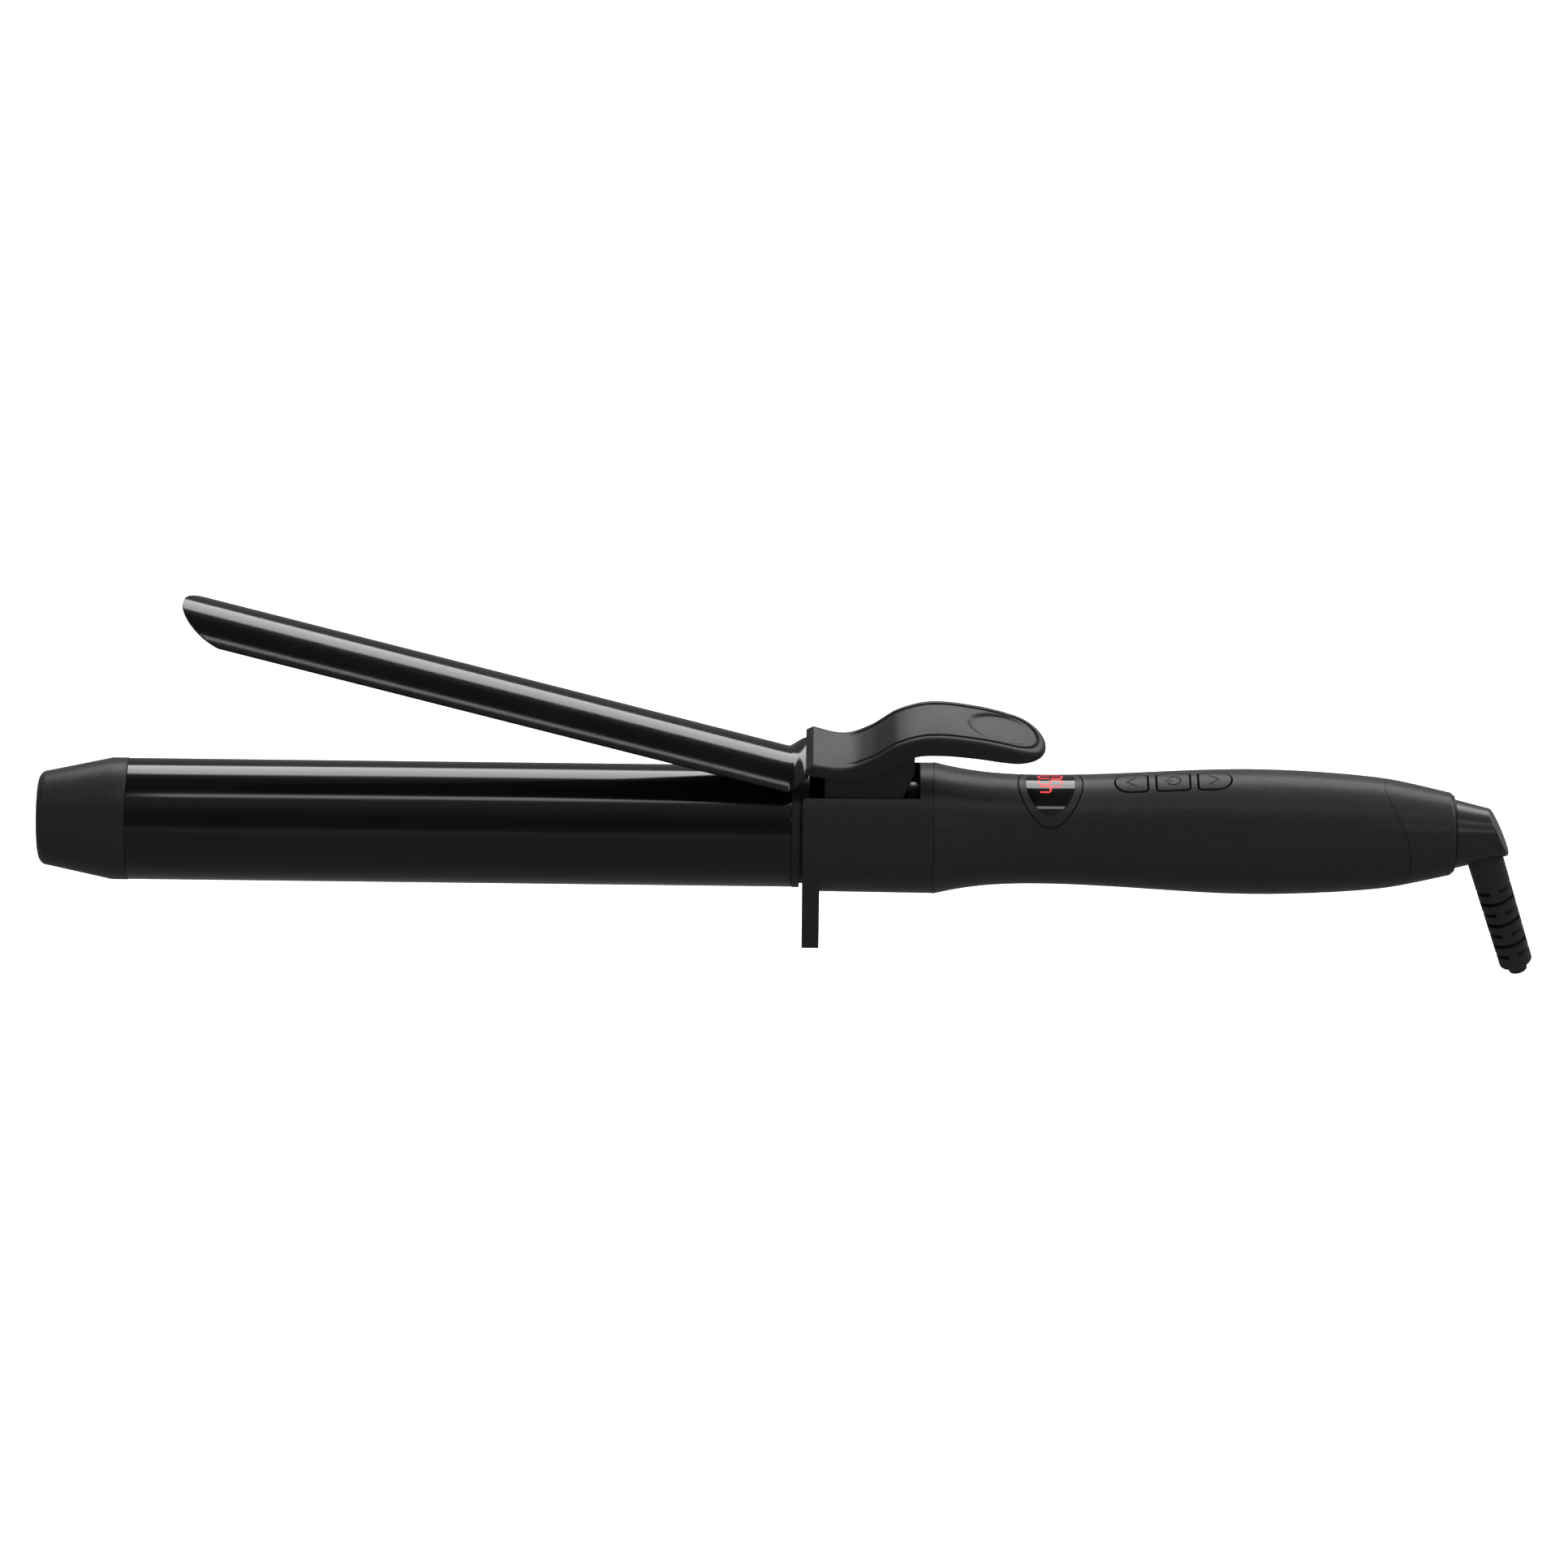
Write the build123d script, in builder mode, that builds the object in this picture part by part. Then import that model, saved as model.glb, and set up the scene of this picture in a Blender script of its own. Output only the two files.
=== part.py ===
from build123d import *
import os
from math import asin, cos, degrees, radians, sin

# Curling iron with a sprung clamp, a fixed stand plate on its collar and a swivel cord outlet.
# Frame: the origin is the middle of the stand's foot, +X runs to the tail and +Z is up.
# Places along the iron are measured from the collar's front face, and heights from the barrel's axis.
os.makedirs("parts", exist_ok=True)

# ---------------------------------------------------- driving dimensions, mm and degrees
stand_thickness = 4.5
axis_height = 28.4

barrel_radius = 16.0
barrel_wall = 1.2
barrel_tip = -177.7
barrel_root = -2.9
edge_round = 0.3

tip_radius = 16.1
tip_band = 4.3
tip_nose_radius = 12.5
tip_nose = -199.0
tip_end = -201.7

collar_radius = 17.05
collar_rear_radius = 17.25
collar_bore = 15.05
collar_length = 34.2
slot_half_width = 8.6
slot_rear = 30.7
cheek_floor = 2.6
deck_height = 2.5
stand_half_width = 16.1

open_angle = 16.2
hinge_x = 12.9
hinge_z = 10.5
pin_radius = 1.5
pin_half_length = 8.15
running_gap = 0.05
bracket_screw_places = [(17.6, 0), (24.2, 0)]
tongue_screw_places = [(6, 3), (6, -3)]
modelled_thread = 0.98

blade_inner = 16.3
blade_sheet = 0.8
blade_half_angle = 39.8
blade_tip = -170.1
blade_root = -5.7
blade_tip_length = 14.5
tongue_front = -1.7
tongue_height = 18.4
tongue_rear = 9.5
tongue_half_width = 5.6
neck_half_width = 9.4

lever_front = 0.6
lever_tip = 63.3
web_half_width = 8.2
web_inner = 6.0
boss_radius = 4.2

handle_front = 34.3
handle_wall = 1.8
cap_rear = 171.6
seam_bulge = 159.4
seam_top = 151.0
seam_foot = 152.3
seam_half_height = 16
# (distance behind the collar's front face, radius) of the handle's outline
handle_outline = [
    (34.3, 17.4),
    (45, 15.35),
    (62, 14.4),
    (92, 15.5),
    (121, 16.5),
    (150, 14.9),
    (169.8, 11.1),
]

display_x = 64.9
bezel_size = (8.3, 11.6)
lens_size = (6.45, 9.35)
trim_gap = 0.35
seam_gap = 0.15

key_half_width = 3.6
key_gap = 0.55
key_proud = 0.15
# front end, rear end and the corner radii at each end of the three keys
keys = {
    "temp_up_button": (82.1, 90.2, 3.5, 0.8),
    "power_button": (92.95, 101.25, 0.8, 0.8),
    "temp_down_button": (103.9, 112.2, 0.8, 3.5),
}
lip_floor = 10.8
lip_thickness = 1.0
stem_radius = 1.4
stem_floor = 8.2

board_floor = 1.95
board_thickness = 1.6

shaft_radius = 4.5
shaft_front = 155
clip_groove = 164.1
clip_groove_radius = 3.7
elbow_front = 171.9
elbow_radius = 9.1
elbow_rear_radius = 5.6
elbow_rear = 186.0
swivel_angle = 6.9
boot_start_x = 178.0
boot_lean = 17.8
boot_top = 4.0
boot_length = 40.2
boot_top_radius = 4.85
boot_end_radius = 4.4
cord_bore_radius = 1.9
slot_count = 7
slot_pitch = 3.3
slot_width = 1.2
slot_bridge = 32

collar_front = -stand_thickness / 2
SIDE = Plane(origin=(collar_front, 0, axis_height), x_dir=(1, 0, 0), z_dir=(0, -1, 0))
BARREL_AXIS = Axis((collar_front, 0, axis_height), (1, 0, 0))


def across(x):
    """Plane square to the barrel's axis: local X runs to +Y and local Y runs up."""
    return Plane(origin=(collar_front + x, 0, axis_height), x_dir=(0, 1, 0), z_dir=(1, 0, 0))


def level(z):
    """Horizontal plane z above the barrel's axis: local X runs to the tail."""
    return Plane(origin=(collar_front, 0, axis_height + z))


def point(x, y, z):
    """Point given from the collar's front face and the barrel's axis."""
    return (collar_front + x, y, axis_height + z)


def wire_path(start, *corners, radius):
    """Rounded path through points given from the collar's front face and the barrel's axis."""
    with BuildLine() as path:
        FilletPolyline(*[point(*corner) for corner in (start, *corners)], radius=radius)
    return path.line


def handle_form(inset):
    """Solid of revolution of the handle's outline, drawn in by inset."""
    with BuildPart() as form:
        with BuildSketch(SIDE):
            with BuildLine():
                front = (handle_outline[0][0], handle_outline[0][1] - inset)
                back = (handle_outline[-1][0], handle_outline[-1][1] - inset)
                corner = (cap_rear, back[1] - 1.9)
                spine = [(x, r - inset) for x, r in handle_outline]
                Spline(*spine, tangents=[(1, -0.24), (1, -0.23)])
                ThreePointArc(back, (cap_rear - 0.5, back[1] - 0.6), corner)
                Polyline(corner, (cap_rear, 0), (front[0], 0), front)
            make_face()
        revolve(axis=BARREL_AXIS)
    return form.part


def seam_block(front_side):
    """Block that ends at the bowed seam between the handle sleeve and the end cap."""
    reach = 30
    far = handle_front - 10 if front_side else cap_rear + 10
    with BuildPart() as block:
        with BuildSketch(SIDE):
            with BuildLine():
                top = (seam_top, seam_half_height)
                foot = (seam_foot, -seam_half_height)
                ThreePointArc(top, (seam_bulge, 0), foot)
                Polyline(foot, (seam_foot, -reach), (far, -reach), (far, reach), (seam_top, reach), top)
            make_face()
        extrude(amount=reach, both=True)
    return block.part


handle_solid = handle_form(0)
handle_core = handle_form(handle_wall)
handle_deep = handle_form(2.6)
key_skin = handle_form(-key_proud)
lens_core = handle_form(1.3)
sleeve_side = seam_block(True)
cap_side = Pos(seam_gap, 0, 0) * seam_block(False)

# the clamp swings open about its hinge, so its pieces are drawn shut on planes turned by swing
hinge_point = point(hinge_x, 0, hinge_z)
swing = Pos(*hinge_point) * Rot(0, open_angle, 0) * Pos(*[-value for value in hinge_point])
# the elbow and boot are drawn hanging straight down and turned about the barrel's axis by turn
turn = Pos(0, 0, axis_height) * Rot(-swivel_angle, 0, 0) * Pos(0, 0, -axis_height)


def swung(plane):
    """The plane carried round the hinge with the open clamp."""
    return Plane(swing * plane.location)


def turned(plane):
    """The plane carried round the barrel's axis with the swivel."""
    return Plane(turn * plane.location)


clamp_up = Axis(hinge_point, swung(level(0)).z_dir)

# ---------------------------------------------------- barrel: coated aluminium tube
with BuildPart() as barrel:
    with BuildSketch(across(barrel_tip)):
        Circle(barrel_radius)
        Circle(barrel_radius - barrel_wall, mode=Mode.SUBTRACT)
    extrude(amount=barrel_root - barrel_tip)
    outer_rims = barrel.edges().filter_by(GeomType.CIRCLE).group_by(SortBy.RADIUS)[-1]
    fillet(outer_rims, edge_round)
barrel.part.label = "barrel"
export_step(barrel.part, "parts/barrel.step")

# ---------------------------------------------------- cool tip: hollow moulded nose
spigot_radius = barrel_radius - barrel_wall - 0.05
spigot_bore = 12.6
spigot_length = 8
dome_rise = 0.4
dome_rim = tip_nose_radius - 2.9
dome_radius = (dome_rim**2 + dome_rise**2) / (2 * dome_rise)
dome_angle = degrees(asin(dome_rim / dome_radius))
with BuildPart() as cool_tip:
    with BuildSketch(SIDE):
        with BuildLine():
            nose = Polyline(
                (barrel_tip + spigot_length, spigot_bore),
                (barrel_tip + spigot_length, spigot_radius),
                (barrel_tip, spigot_radius),
                (barrel_tip, tip_radius),
                (barrel_tip - tip_band, tip_radius),
                (tip_nose, tip_nose_radius),
            )
            ThreePointArc(nose @ 1, (tip_end + 1.2, tip_nose_radius - 0.9), (tip_end + dome_rise, dome_rim))
            CenterArc((tip_end + dome_radius, 0), dome_radius, 180 - dome_angle, dome_angle)
            Polyline(
                (tip_end, 0),
                (tip_end + 2, 0),
                (tip_end + 2.6, dome_rim - 0.7),
                (barrel_tip - tip_band, spigot_bore),
                nose @ 0,
            )
        make_face()
    revolve(axis=BARREL_AXIS)
    band_edges = cool_tip.edges().filter_by(GeomType.CIRCLE).filter_by(lambda e: e.radius == tip_radius)
    fillet(band_edges.sort_by(Axis.X)[-1], edge_round)
cool_tip.part.label = "cool_tip"
export_step(cool_tip.part, "parts/cool_tip.step")

# ---------------------------------------------------- tip insulator: mica disc
with BuildPart() as tip_insulator:
    with BuildSketch(across(barrel_tip + spigot_length)):
        Circle(spigot_radius)
        Circle(2, mode=Mode.SUBTRACT)
    extrude(amount=2)
tip_insulator.part.label = "tip_insulator"
export_step(tip_insulator.part, "parts/tip_insulator.step")

# ---------------------------------------------------- heat spreaders: two half-round extrusions
heater_front = -160
heater_length = 134
spreader_radius = 14.7
spreader_flat = 1.95
spreader_wall = 1.8
for name, side in (("heat_spreader_top", 1), ("heat_spreader_bottom", -1)):
    with BuildPart() as heat_spreader:
        with BuildSketch(across(heater_front)):
            Circle(spreader_radius)
            with Locations((0, side * (spreader_flat - 20))):
                Rectangle(40, 40, mode=Mode.SUBTRACT)
        extrude(amount=heater_length)
        with BuildSketch(across(heater_front)):
            Circle(spreader_radius - spreader_wall)
            with Locations((0, side * (spreader_flat + 2.2 - 20))):
                Rectangle(40, 40, mode=Mode.SUBTRACT)
        extrude(amount=heater_length, mode=Mode.SUBTRACT)
    heat_spreader.part.label = name
    export_step(heat_spreader.part, f"parts/{name}.step")

# ---------------------------------------------------- heater stack: stones, electrodes, film
stone_half_height = 1.1
electrode_thickness = 0.4
stone_count = 5
stone_pitch = 25
stone_middle = heater_front + heater_length / 2
with BuildPart() as heater_stones:
    with BuildSketch(level(-stone_half_height)):
        with Locations((stone_middle, 0)):
            with GridLocations(stone_pitch, 1, stone_count, 1):
                Rectangle(stone_pitch - 2, 14)
    extrude(amount=2 * stone_half_height)
heater_stones.part.label = "heater_stones"
export_step(heater_stones.part, "parts/heater_stones.step")

for name, floor, tab_y in (
    ("electrode_upper", stone_half_height, 4),
    ("electrode_lower", -stone_half_height - electrode_thickness, -4),
):
    with BuildPart() as electrode:
        with BuildSketch(level(floor)):
            with Locations((stone_middle, 0)):
                Rectangle(stone_count * stone_pitch, 15)
            with Locations((stone_middle + stone_count * stone_pitch / 2 + 5, tab_y)):
                Rectangle(12, 3)
        extrude(amount=electrode_thickness)
    electrode.part.label = name
    export_step(electrode.part, f"parts/{name}.step")

film_outer = spreader_flat - 0.03
film_inner = stone_half_height + electrode_thickness + 0.03
with BuildPart() as insulating_film:
    with BuildSketch(across(stone_middle - 64)):
        Rectangle(18, 2 * film_outer)
        Rectangle(17.3, 2 * film_inner, mode=Mode.SUBTRACT)
    extrude(amount=128)
insulating_film.part.label = "insulating_film"
export_step(insulating_film.part, "parts/insulating_film.step")

# ---------------------------------------------------- thermistor and thermal fuse
sensor_height = spreader_flat + 2.2 + 1.3
with BuildPart() as thermistor:
    with BuildSketch(across(-42)):
        with Locations((0, sensor_height)):
            Circle(1.25)
    extrude(amount=6)
    fillet(thermistor.edges().filter_by(GeomType.CIRCLE), 0.6)
thermistor.part.label = "thermistor"
export_step(thermistor.part, "parts/thermistor.step")

fuse_depth = -(spreader_flat + 2.2 + 2.3)
with BuildPart() as thermal_fuse:
    with BuildSketch(across(-52)):
        with Locations((0, fuse_depth)):
            Circle(2.2)
    extrude(amount=11)
    fillet(thermal_fuse.edges().filter_by(GeomType.CIRCLE), 0.7)
    with BuildSketch(across(-57)):
        with Locations((0, fuse_depth)):
            Circle(0.5)
    extrude(amount=6)
thermal_fuse.part.label = "thermal_fuse"
export_step(thermal_fuse.part, "parts/thermal_fuse.step")

# ---------------------------------------------------- barrel holder: insulating root of the barrel
holder_radius = 15.0
holder_rear = 30.7
holder_wall_rear = 1.6
lead_bore = 5.5
lead_bore_depth = -6.5
with BuildPart() as barrel_holder:
    with BuildSketch(SIDE):
        with BuildLine():
            Polyline(
                (barrel_root - 11, 12.4),
                (barrel_root - 11, spigot_radius),
                (barrel_root, spigot_radius),
                (barrel_root, tip_radius),
                (barrel_root + 2, tip_radius),
                (barrel_root + 2, holder_radius),
                (holder_rear, holder_radius),
                (holder_rear, 0),
                (barrel_root, 0),
                (barrel_root, 12.4),
                close=True,
            )
        make_face()
    revolve(axis=BARREL_AXIS)
    with BuildSketch(across(holder_wall_rear)):
        with Locations((0, deck_height + 15)):
            Rectangle(40, 30)
    extrude(amount=40, mode=Mode.SUBTRACT)
    with BuildSketch(across(holder_wall_rear)):
        Circle(12.8)
        with Locations((0, deck_height - 2 + 15)):
            Rectangle(40, 30, mode=Mode.SUBTRACT)
    extrude(amount=40, mode=Mode.SUBTRACT)
    with BuildSketch(across(barrel_root - 1)):
        with Locations((0, lead_bore_depth)):
            Circle(lead_bore)
    extrude(amount=6, mode=Mode.SUBTRACT)
    # screw bosses under the deck, drilled for the bracket's two screws
    with BuildSketch(level(deck_height)):
        with Locations(*bracket_screw_places):
            Circle(2.6)
    extrude(amount=-6.4)
    with BuildSketch(level(deck_height)):
        with Locations(*bracket_screw_places):
            Circle(1.0)
    extrude(amount=-5.2, mode=Mode.SUBTRACT)
barrel_holder.part.label = "barrel_holder"
export_step(barrel_holder.part, "parts/barrel_holder.step")

# ---------------------------------------------------- collar: slotted tube with the stand plate
with BuildPart() as collar_housing:
    with BuildSketch(SIDE):
        with BuildLine():
            Polyline(
                (0, collar_bore),
                (0, collar_radius),
                (collar_length, collar_rear_radius),
                (collar_length, collar_bore),
                close=True,
            )
        make_face()
    revolve(axis=BARREL_AXIS)
    # cheeks that keep the hinge pin from sliding out
    with BuildSketch(across(4)):
        Circle(collar_bore + 0.2)
        with Locations((0, cheek_floor - 20)):
            Rectangle(40, 40, mode=Mode.SUBTRACT)
    extrude(amount=slot_rear - 4)
    # slot that the lever's web swings in
    with BuildSketch(level(cheek_floor - 1)):
        with Locations((slot_rear / 2 - 5, 0)):
            Rectangle(slot_rear + 10, 2 * slot_half_width)
    extrude(amount=30, mode=Mode.SUBTRACT)
    # stand plate, one moulding with the collar
    with BuildSketch(across(0)):
        with Locations((0, -axis_height / 2)):
            Rectangle(2 * stand_half_width, axis_height)
        Circle(collar_radius - 0.3, mode=Mode.SUBTRACT)
    extrude(amount=stand_thickness)
    foot_corners = collar_housing.edges().filter_by(Axis.X).group_by(Axis.Z)[0]
    fillet(foot_corners, 1.0)
collar_housing.part.label = "collar_housing"
export_step(collar_housing.part, "parts/collar_housing.step")

# ---------------------------------------------------- hinge bracket: folded steel yoke
bracket_sheet = 1.2
ear_inner = 4.4
with BuildPart() as hinge_bracket:
    with BuildSketch(level(deck_height)):
        with Locations((18.9, 0)):
            Rectangle(22.2, 2 * (ear_inner + bracket_sheet))
    extrude(amount=bracket_sheet)
    with BuildSketch(SIDE):
        with Locations((hinge_x, hinge_z)):
            Circle(3.0)
        with BuildLine():
            Polyline(
                (hinge_x - 3, hinge_z),
                (hinge_x - 5, deck_height),
                (hinge_x + 5, deck_height),
                (hinge_x + 3, hinge_z),
                close=True,
            )
        make_face()
    extrude(amount=ear_inner + bracket_sheet, both=True)
    with BuildSketch(level(deck_height + bracket_sheet)):
        with Locations((18.9, 0)):
            Rectangle(40, 2 * ear_inner)
    extrude(amount=20, mode=Mode.SUBTRACT)
    with BuildSketch(SIDE):
        with Locations((hinge_x, hinge_z)):
            Circle(pin_radius)
    extrude(amount=20, both=True, mode=Mode.SUBTRACT)
    with BuildSketch(level(deck_height)):
        with Locations(*bracket_screw_places):
            Circle(1.25)
    extrude(amount=5, mode=Mode.SUBTRACT)
hinge_bracket.part.label = "hinge_bracket"
export_step(hinge_bracket.part, "parts/hinge_bracket.step")

with BuildPart() as bracket_screws:
    deck = deck_height + bracket_sheet
    with BuildSketch(level(deck)):
        with Locations(*bracket_screw_places):
            Circle(1.9)
    extrude(amount=1.2)
    fillet(bracket_screws.edges().group_by(Axis.Z)[-1], 0.4)
    with BuildSketch(level(deck)):
        with Locations(*bracket_screw_places):
            Circle(modelled_thread)
    extrude(amount=-5.8)
bracket_screws.part.label = "bracket_screws"
export_step(bracket_screws.part, "parts/bracket_screws.step")

# ---------------------------------------------------- lever stop: buffer at the slot's rear
stop_x = 28.8
stop_radius = 1.65
stop_top = 14.0
with BuildPart() as lever_stop:
    with BuildSketch(level(deck_height + bracket_sheet)):
        with Locations((stop_x, 0)):
            Circle(stop_radius)
    extrude(amount=stop_top - deck_height - bracket_sheet)
    fillet(lever_stop.edges().group_by(Axis.Z)[-1], 1.2)
lever_stop.part.label = "lever_stop"
export_step(lever_stop.part, "parts/lever_stop.step")

# ---------------------------------------------------- hinge pin
with BuildPart() as hinge_pin:
    with BuildSketch(SIDE):
        with Locations((hinge_x, hinge_z)):
            Circle(pin_radius)
    extrude(amount=pin_half_length, both=True)
    chamfer(hinge_pin.edges().filter_by(GeomType.CIRCLE), 0.3)
hinge_pin.part.label = "hinge_pin"
export_step(hinge_pin.part, "parts/hinge_pin.step")

# ---------------------------------------------------- clamp spring: torsion spring round the pin
spring_wire = 0.5
coil_radius = 2.6
coil_pitch = 1.3
coil_turns = 4.5
coil_half = coil_pitch * coil_turns / 2
leg_length = 9
leg_overlap = 0.3
upper_leg_way = Vector(8.7, 0, 2.6).normalized()
lower_leg_way = Vector(8.7, 0, -0.3).normalized()
with BuildPart() as clamp_spring:
    with BuildLine() as coil:
        Helix(
            pitch=coil_pitch,
            height=2 * coil_half,
            radius=coil_radius,
            center=point(hinge_x, -coil_half, hinge_z),
            direction=(0, 1, 0),
            lefthand=True,
        )
    with BuildSketch(Plane(origin=coil.line @ 0, z_dir=coil.line % 0)):
        Circle(spring_wire)
    sweep(is_frenet=True)
    # the upper leg bears on the lever's bar and the lower leg on the bracket
    with BuildSketch(Plane(origin=coil.line @ 0 - upper_leg_way * leg_overlap, z_dir=upper_leg_way)):
        Circle(spring_wire)
    extrude(amount=leg_length)
    with BuildSketch(Plane(origin=coil.line @ 1 - lower_leg_way * leg_overlap, z_dir=lower_leg_way)):
        Circle(spring_wire)
    extrude(amount=leg_length)
clamp_spring.part.label = "clamp_spring"
export_step(clamp_spring.part, "parts/clamp_spring.step")

# ---------------------------------------------------- clamp blade: curved sheet with a fixing tongue
half_angle = radians(blade_half_angle)


def sheet_section(plane, radius, drop, half):
    """Section of the blade's sheet: two arcs of one centre, drop below the axis, ended at an angle."""
    with BuildSketch(swung(plane)) as section:
        with BuildLine():
            inner = CenterArc((0, -drop), radius, 90 - degrees(half), 2 * degrees(half))
            outer = CenterArc((0, -drop), radius + blade_sheet, 90 - degrees(half), 2 * degrees(half))
            Line(inner @ 0, outer @ 0)
            Line(inner @ 1, outer @ 1)
        make_face()
    return section.sketch


neck_radius = 40
neck_drop = neck_radius - tongue_height
blade_section = sheet_section(across(blade_root), blade_inner, 0, half_angle)
neck_half = asin(neck_half_width / neck_radius)
neck_section = sheet_section(across(tongue_front), neck_radius, neck_drop, neck_half)
with BuildPart() as clamp_blade:
    extrude(blade_section, amount=blade_root - blade_tip, dir=-swung(across(0)).z_dir)
    # rounded tip, cut square to the sheet's middle
    with BuildSketch(swung(level(0))):
        with Locations((blade_tip + blade_tip_length, 0)):
            Ellipse(blade_tip_length, 10.95)
        with Locations(((blade_tip + blade_tip_length + blade_root) / 2 + 10, 0)):
            Rectangle(blade_root - blade_tip - blade_tip_length + 20, 30)
    extrude(amount=30, mode=Mode.INTERSECT)
    loft([blade_section, neck_section])
    with BuildSketch(swung(level(tongue_height))):
        with Locations(((tongue_front + tongue_rear) / 2 - 0.4, 0)):
            Rectangle(tongue_rear - tongue_front + 0.8, 2 * tongue_half_width)
    extrude(amount=blade_sheet)
    with BuildSketch(swung(level(tongue_height - 1))):
        with Locations(*tongue_screw_places):
            Circle(1.05)
    extrude(amount=4, mode=Mode.SUBTRACT)
clamp_blade.part.label = "clamp_blade"
export_step(clamp_blade.part, "parts/clamp_blade.step")

# ---------------------------------------------------- thumb lever: paddle, front block and hinge web
with BuildPart() as thumb_lever:
    with BuildSketch(SIDE):
        with BuildLine():
            top = Spline(
                (lever_front, 26.4),
                (10.5, 24.5),
                (17.6, 27.2),
                (24.5, 32.0),
                (33, 34.5),
                (45, 33.4),
                (56, 30.5),
                (lever_tip, 27.3),
                tangents=[(1, -0.3), (1, -0.5)],
            )
            under = Spline(
                (lever_tip, 25.4),
                (54, 26.3),
                (45, 27.9),
                (35, 28.8),
                (28, 27.9),
                (20, 22.9),
                (12, 20.4),
                (lever_front + 0.7, 22.2),
                tangents=[(-1, 0.2), (-1, 0.35)],
            )
            Line(top @ 1, under @ 0)
            Line(under @ 1, top @ 0)
        make_face()
    extrude(amount=12, both=True)
    # plan outline: square front, slight waist, rounded paddle
    with BuildSketch(level(0)):
        with BuildLine():
            near = Spline(
                (lever_front - 1, -10),
                (11, -9.1),
                (26, -9.5),
                (50, -9.2),
                tangents=[(1, 0.1), (1, 0.12)],
            )
            nose = ThreePointArc(near @ 1, (lever_tip, 0), (50, 9.2))
            Spline(
                nose @ 1,
                (26, 9.5),
                (11, 9.1),
                (lever_front - 1, 10),
                tangents=[(-1, 0.12), (-1, 0.1)],
            )
            Line((lever_front - 1, 10), near @ 0)
        make_face()
    extrude(amount=60, mode=Mode.INTERSECT)
    # hinge web: two cheeks that ride on the pin, joined under the paddle
    with BuildSketch(SIDE):
        with Locations((hinge_x, hinge_z)):
            Circle(boss_radius)
        with BuildLine():
            Polyline(
                (5.5, 22),
                (5.6, 13.6),
                (9.7, 7.8),
                (13.5, 6.35),
                (24.6, 9.6),
                (26.2, 14.9),
                (29.3, 22.5),
                (29.3, 29.3),
                (20, 24),
                (12, 21),
                close=True,
            )
        make_face()
    extrude(amount=web_half_width, both=True)
    with BuildSketch(SIDE):
        with BuildLine():
            Polyline(
                (7.4, 19.4),
                (7.4, 5),
                (24, 5),
                (24, 21),
                (19.5, 21),
                (12, 19.4),
                close=True,
            )
        make_face()
    extrude(amount=web_inner, both=True, mode=Mode.SUBTRACT)
    # bar for the spring's upper leg
    with BuildSketch(SIDE):
        with Locations((21.6, 17.4)):
            Rectangle(2.4, 2.0)
    extrude(amount=web_half_width, both=True)
    with BuildSketch(SIDE):
        with Locations((hinge_x, hinge_z)):
            Circle(pin_radius + running_gap)
    extrude(amount=20, both=True, mode=Mode.SUBTRACT)
    # seat for the blade's tongue and its two screws
    with BuildSketch(swung(level(tongue_height - 6))):
        with Locations(((tongue_front + tongue_rear) / 2 - 0.5, 0)):
            Rectangle(tongue_rear - tongue_front + 1.4, 2 * tongue_half_width + 0.1)
    extrude(amount=6 + blade_sheet, mode=Mode.SUBTRACT)
    with BuildSketch(swung(across(tongue_front - 6))):
        with Locations((0, tongue_height + blade_sheet + 0.05 - 20)):
            Rectangle(40, 40)
    extrude(amount=6.05, mode=Mode.SUBTRACT)
    with BuildSketch(swung(level(tongue_height))):
        with Locations(*tongue_screw_places):
            Circle(0.9)
    extrude(amount=3.2, mode=Mode.SUBTRACT)
thumb_lever.part.label = "thumb_lever"
export_step(thumb_lever.part, "parts/thumb_lever.step")

with BuildPart() as clamp_screws:
    with BuildSketch(swung(level(tongue_height))):
        with Locations(*tongue_screw_places):
            Circle(1.8)
    extrude(amount=-1.1)
    fillet(clamp_screws.edges().group_by(clamp_up)[0], 0.35)
    with BuildSketch(swung(level(tongue_height))):
        with Locations(*tongue_screw_places):
            Circle(0.9)
    extrude(amount=3.0)
clamp_screws.part.label = "clamp_screws"
export_step(clamp_screws.part, "parts/clamp_screws.step")


# ---------------------------------------------------- handle sleeve: one soft-touch moulding
def key_outline(name, grow):
    """Plan outline of one key, grown all round."""
    front, rear, front_round, rear_round = keys[name]
    with BuildSketch(level(lip_floor)) as outline:
        with Locations(((front + rear) / 2, 0)):
            Rectangle(rear - front, 2 * key_half_width)
        fillet(outline.vertices().group_by(Axis.X)[0], front_round)
        fillet(outline.vertices().group_by(Axis.X)[-1], rear_round)
        if grow:
            offset(amount=grow)
    return outline.sketch


key_cuts = [key_outline(name, key_gap) for name in keys]
with BuildPart() as handle_sleeve:
    add(handle_solid)
    add(handle_core, mode=Mode.SUBTRACT)
    add(sleeve_side, mode=Mode.INTERSECT)
    with BuildSketch(across(handle_front - 1)):
        Circle(handle_outline[0][1] - handle_wall)
    extrude(amount=2, mode=Mode.SUBTRACT)
    with BuildSketch(level(0)):
        with Locations((display_x, 0)):
            Ellipse(bezel_size[0] + trim_gap, bezel_size[1] + trim_gap)
    extrude(amount=30, mode=Mode.SUBTRACT)
    for key_cut in key_cuts:
        extrude(key_cut, amount=30, mode=Mode.SUBTRACT)
handle_sleeve.part.label = "handle_sleeve"
export_step(handle_sleeve.part, "parts/handle_sleeve.step")

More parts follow.
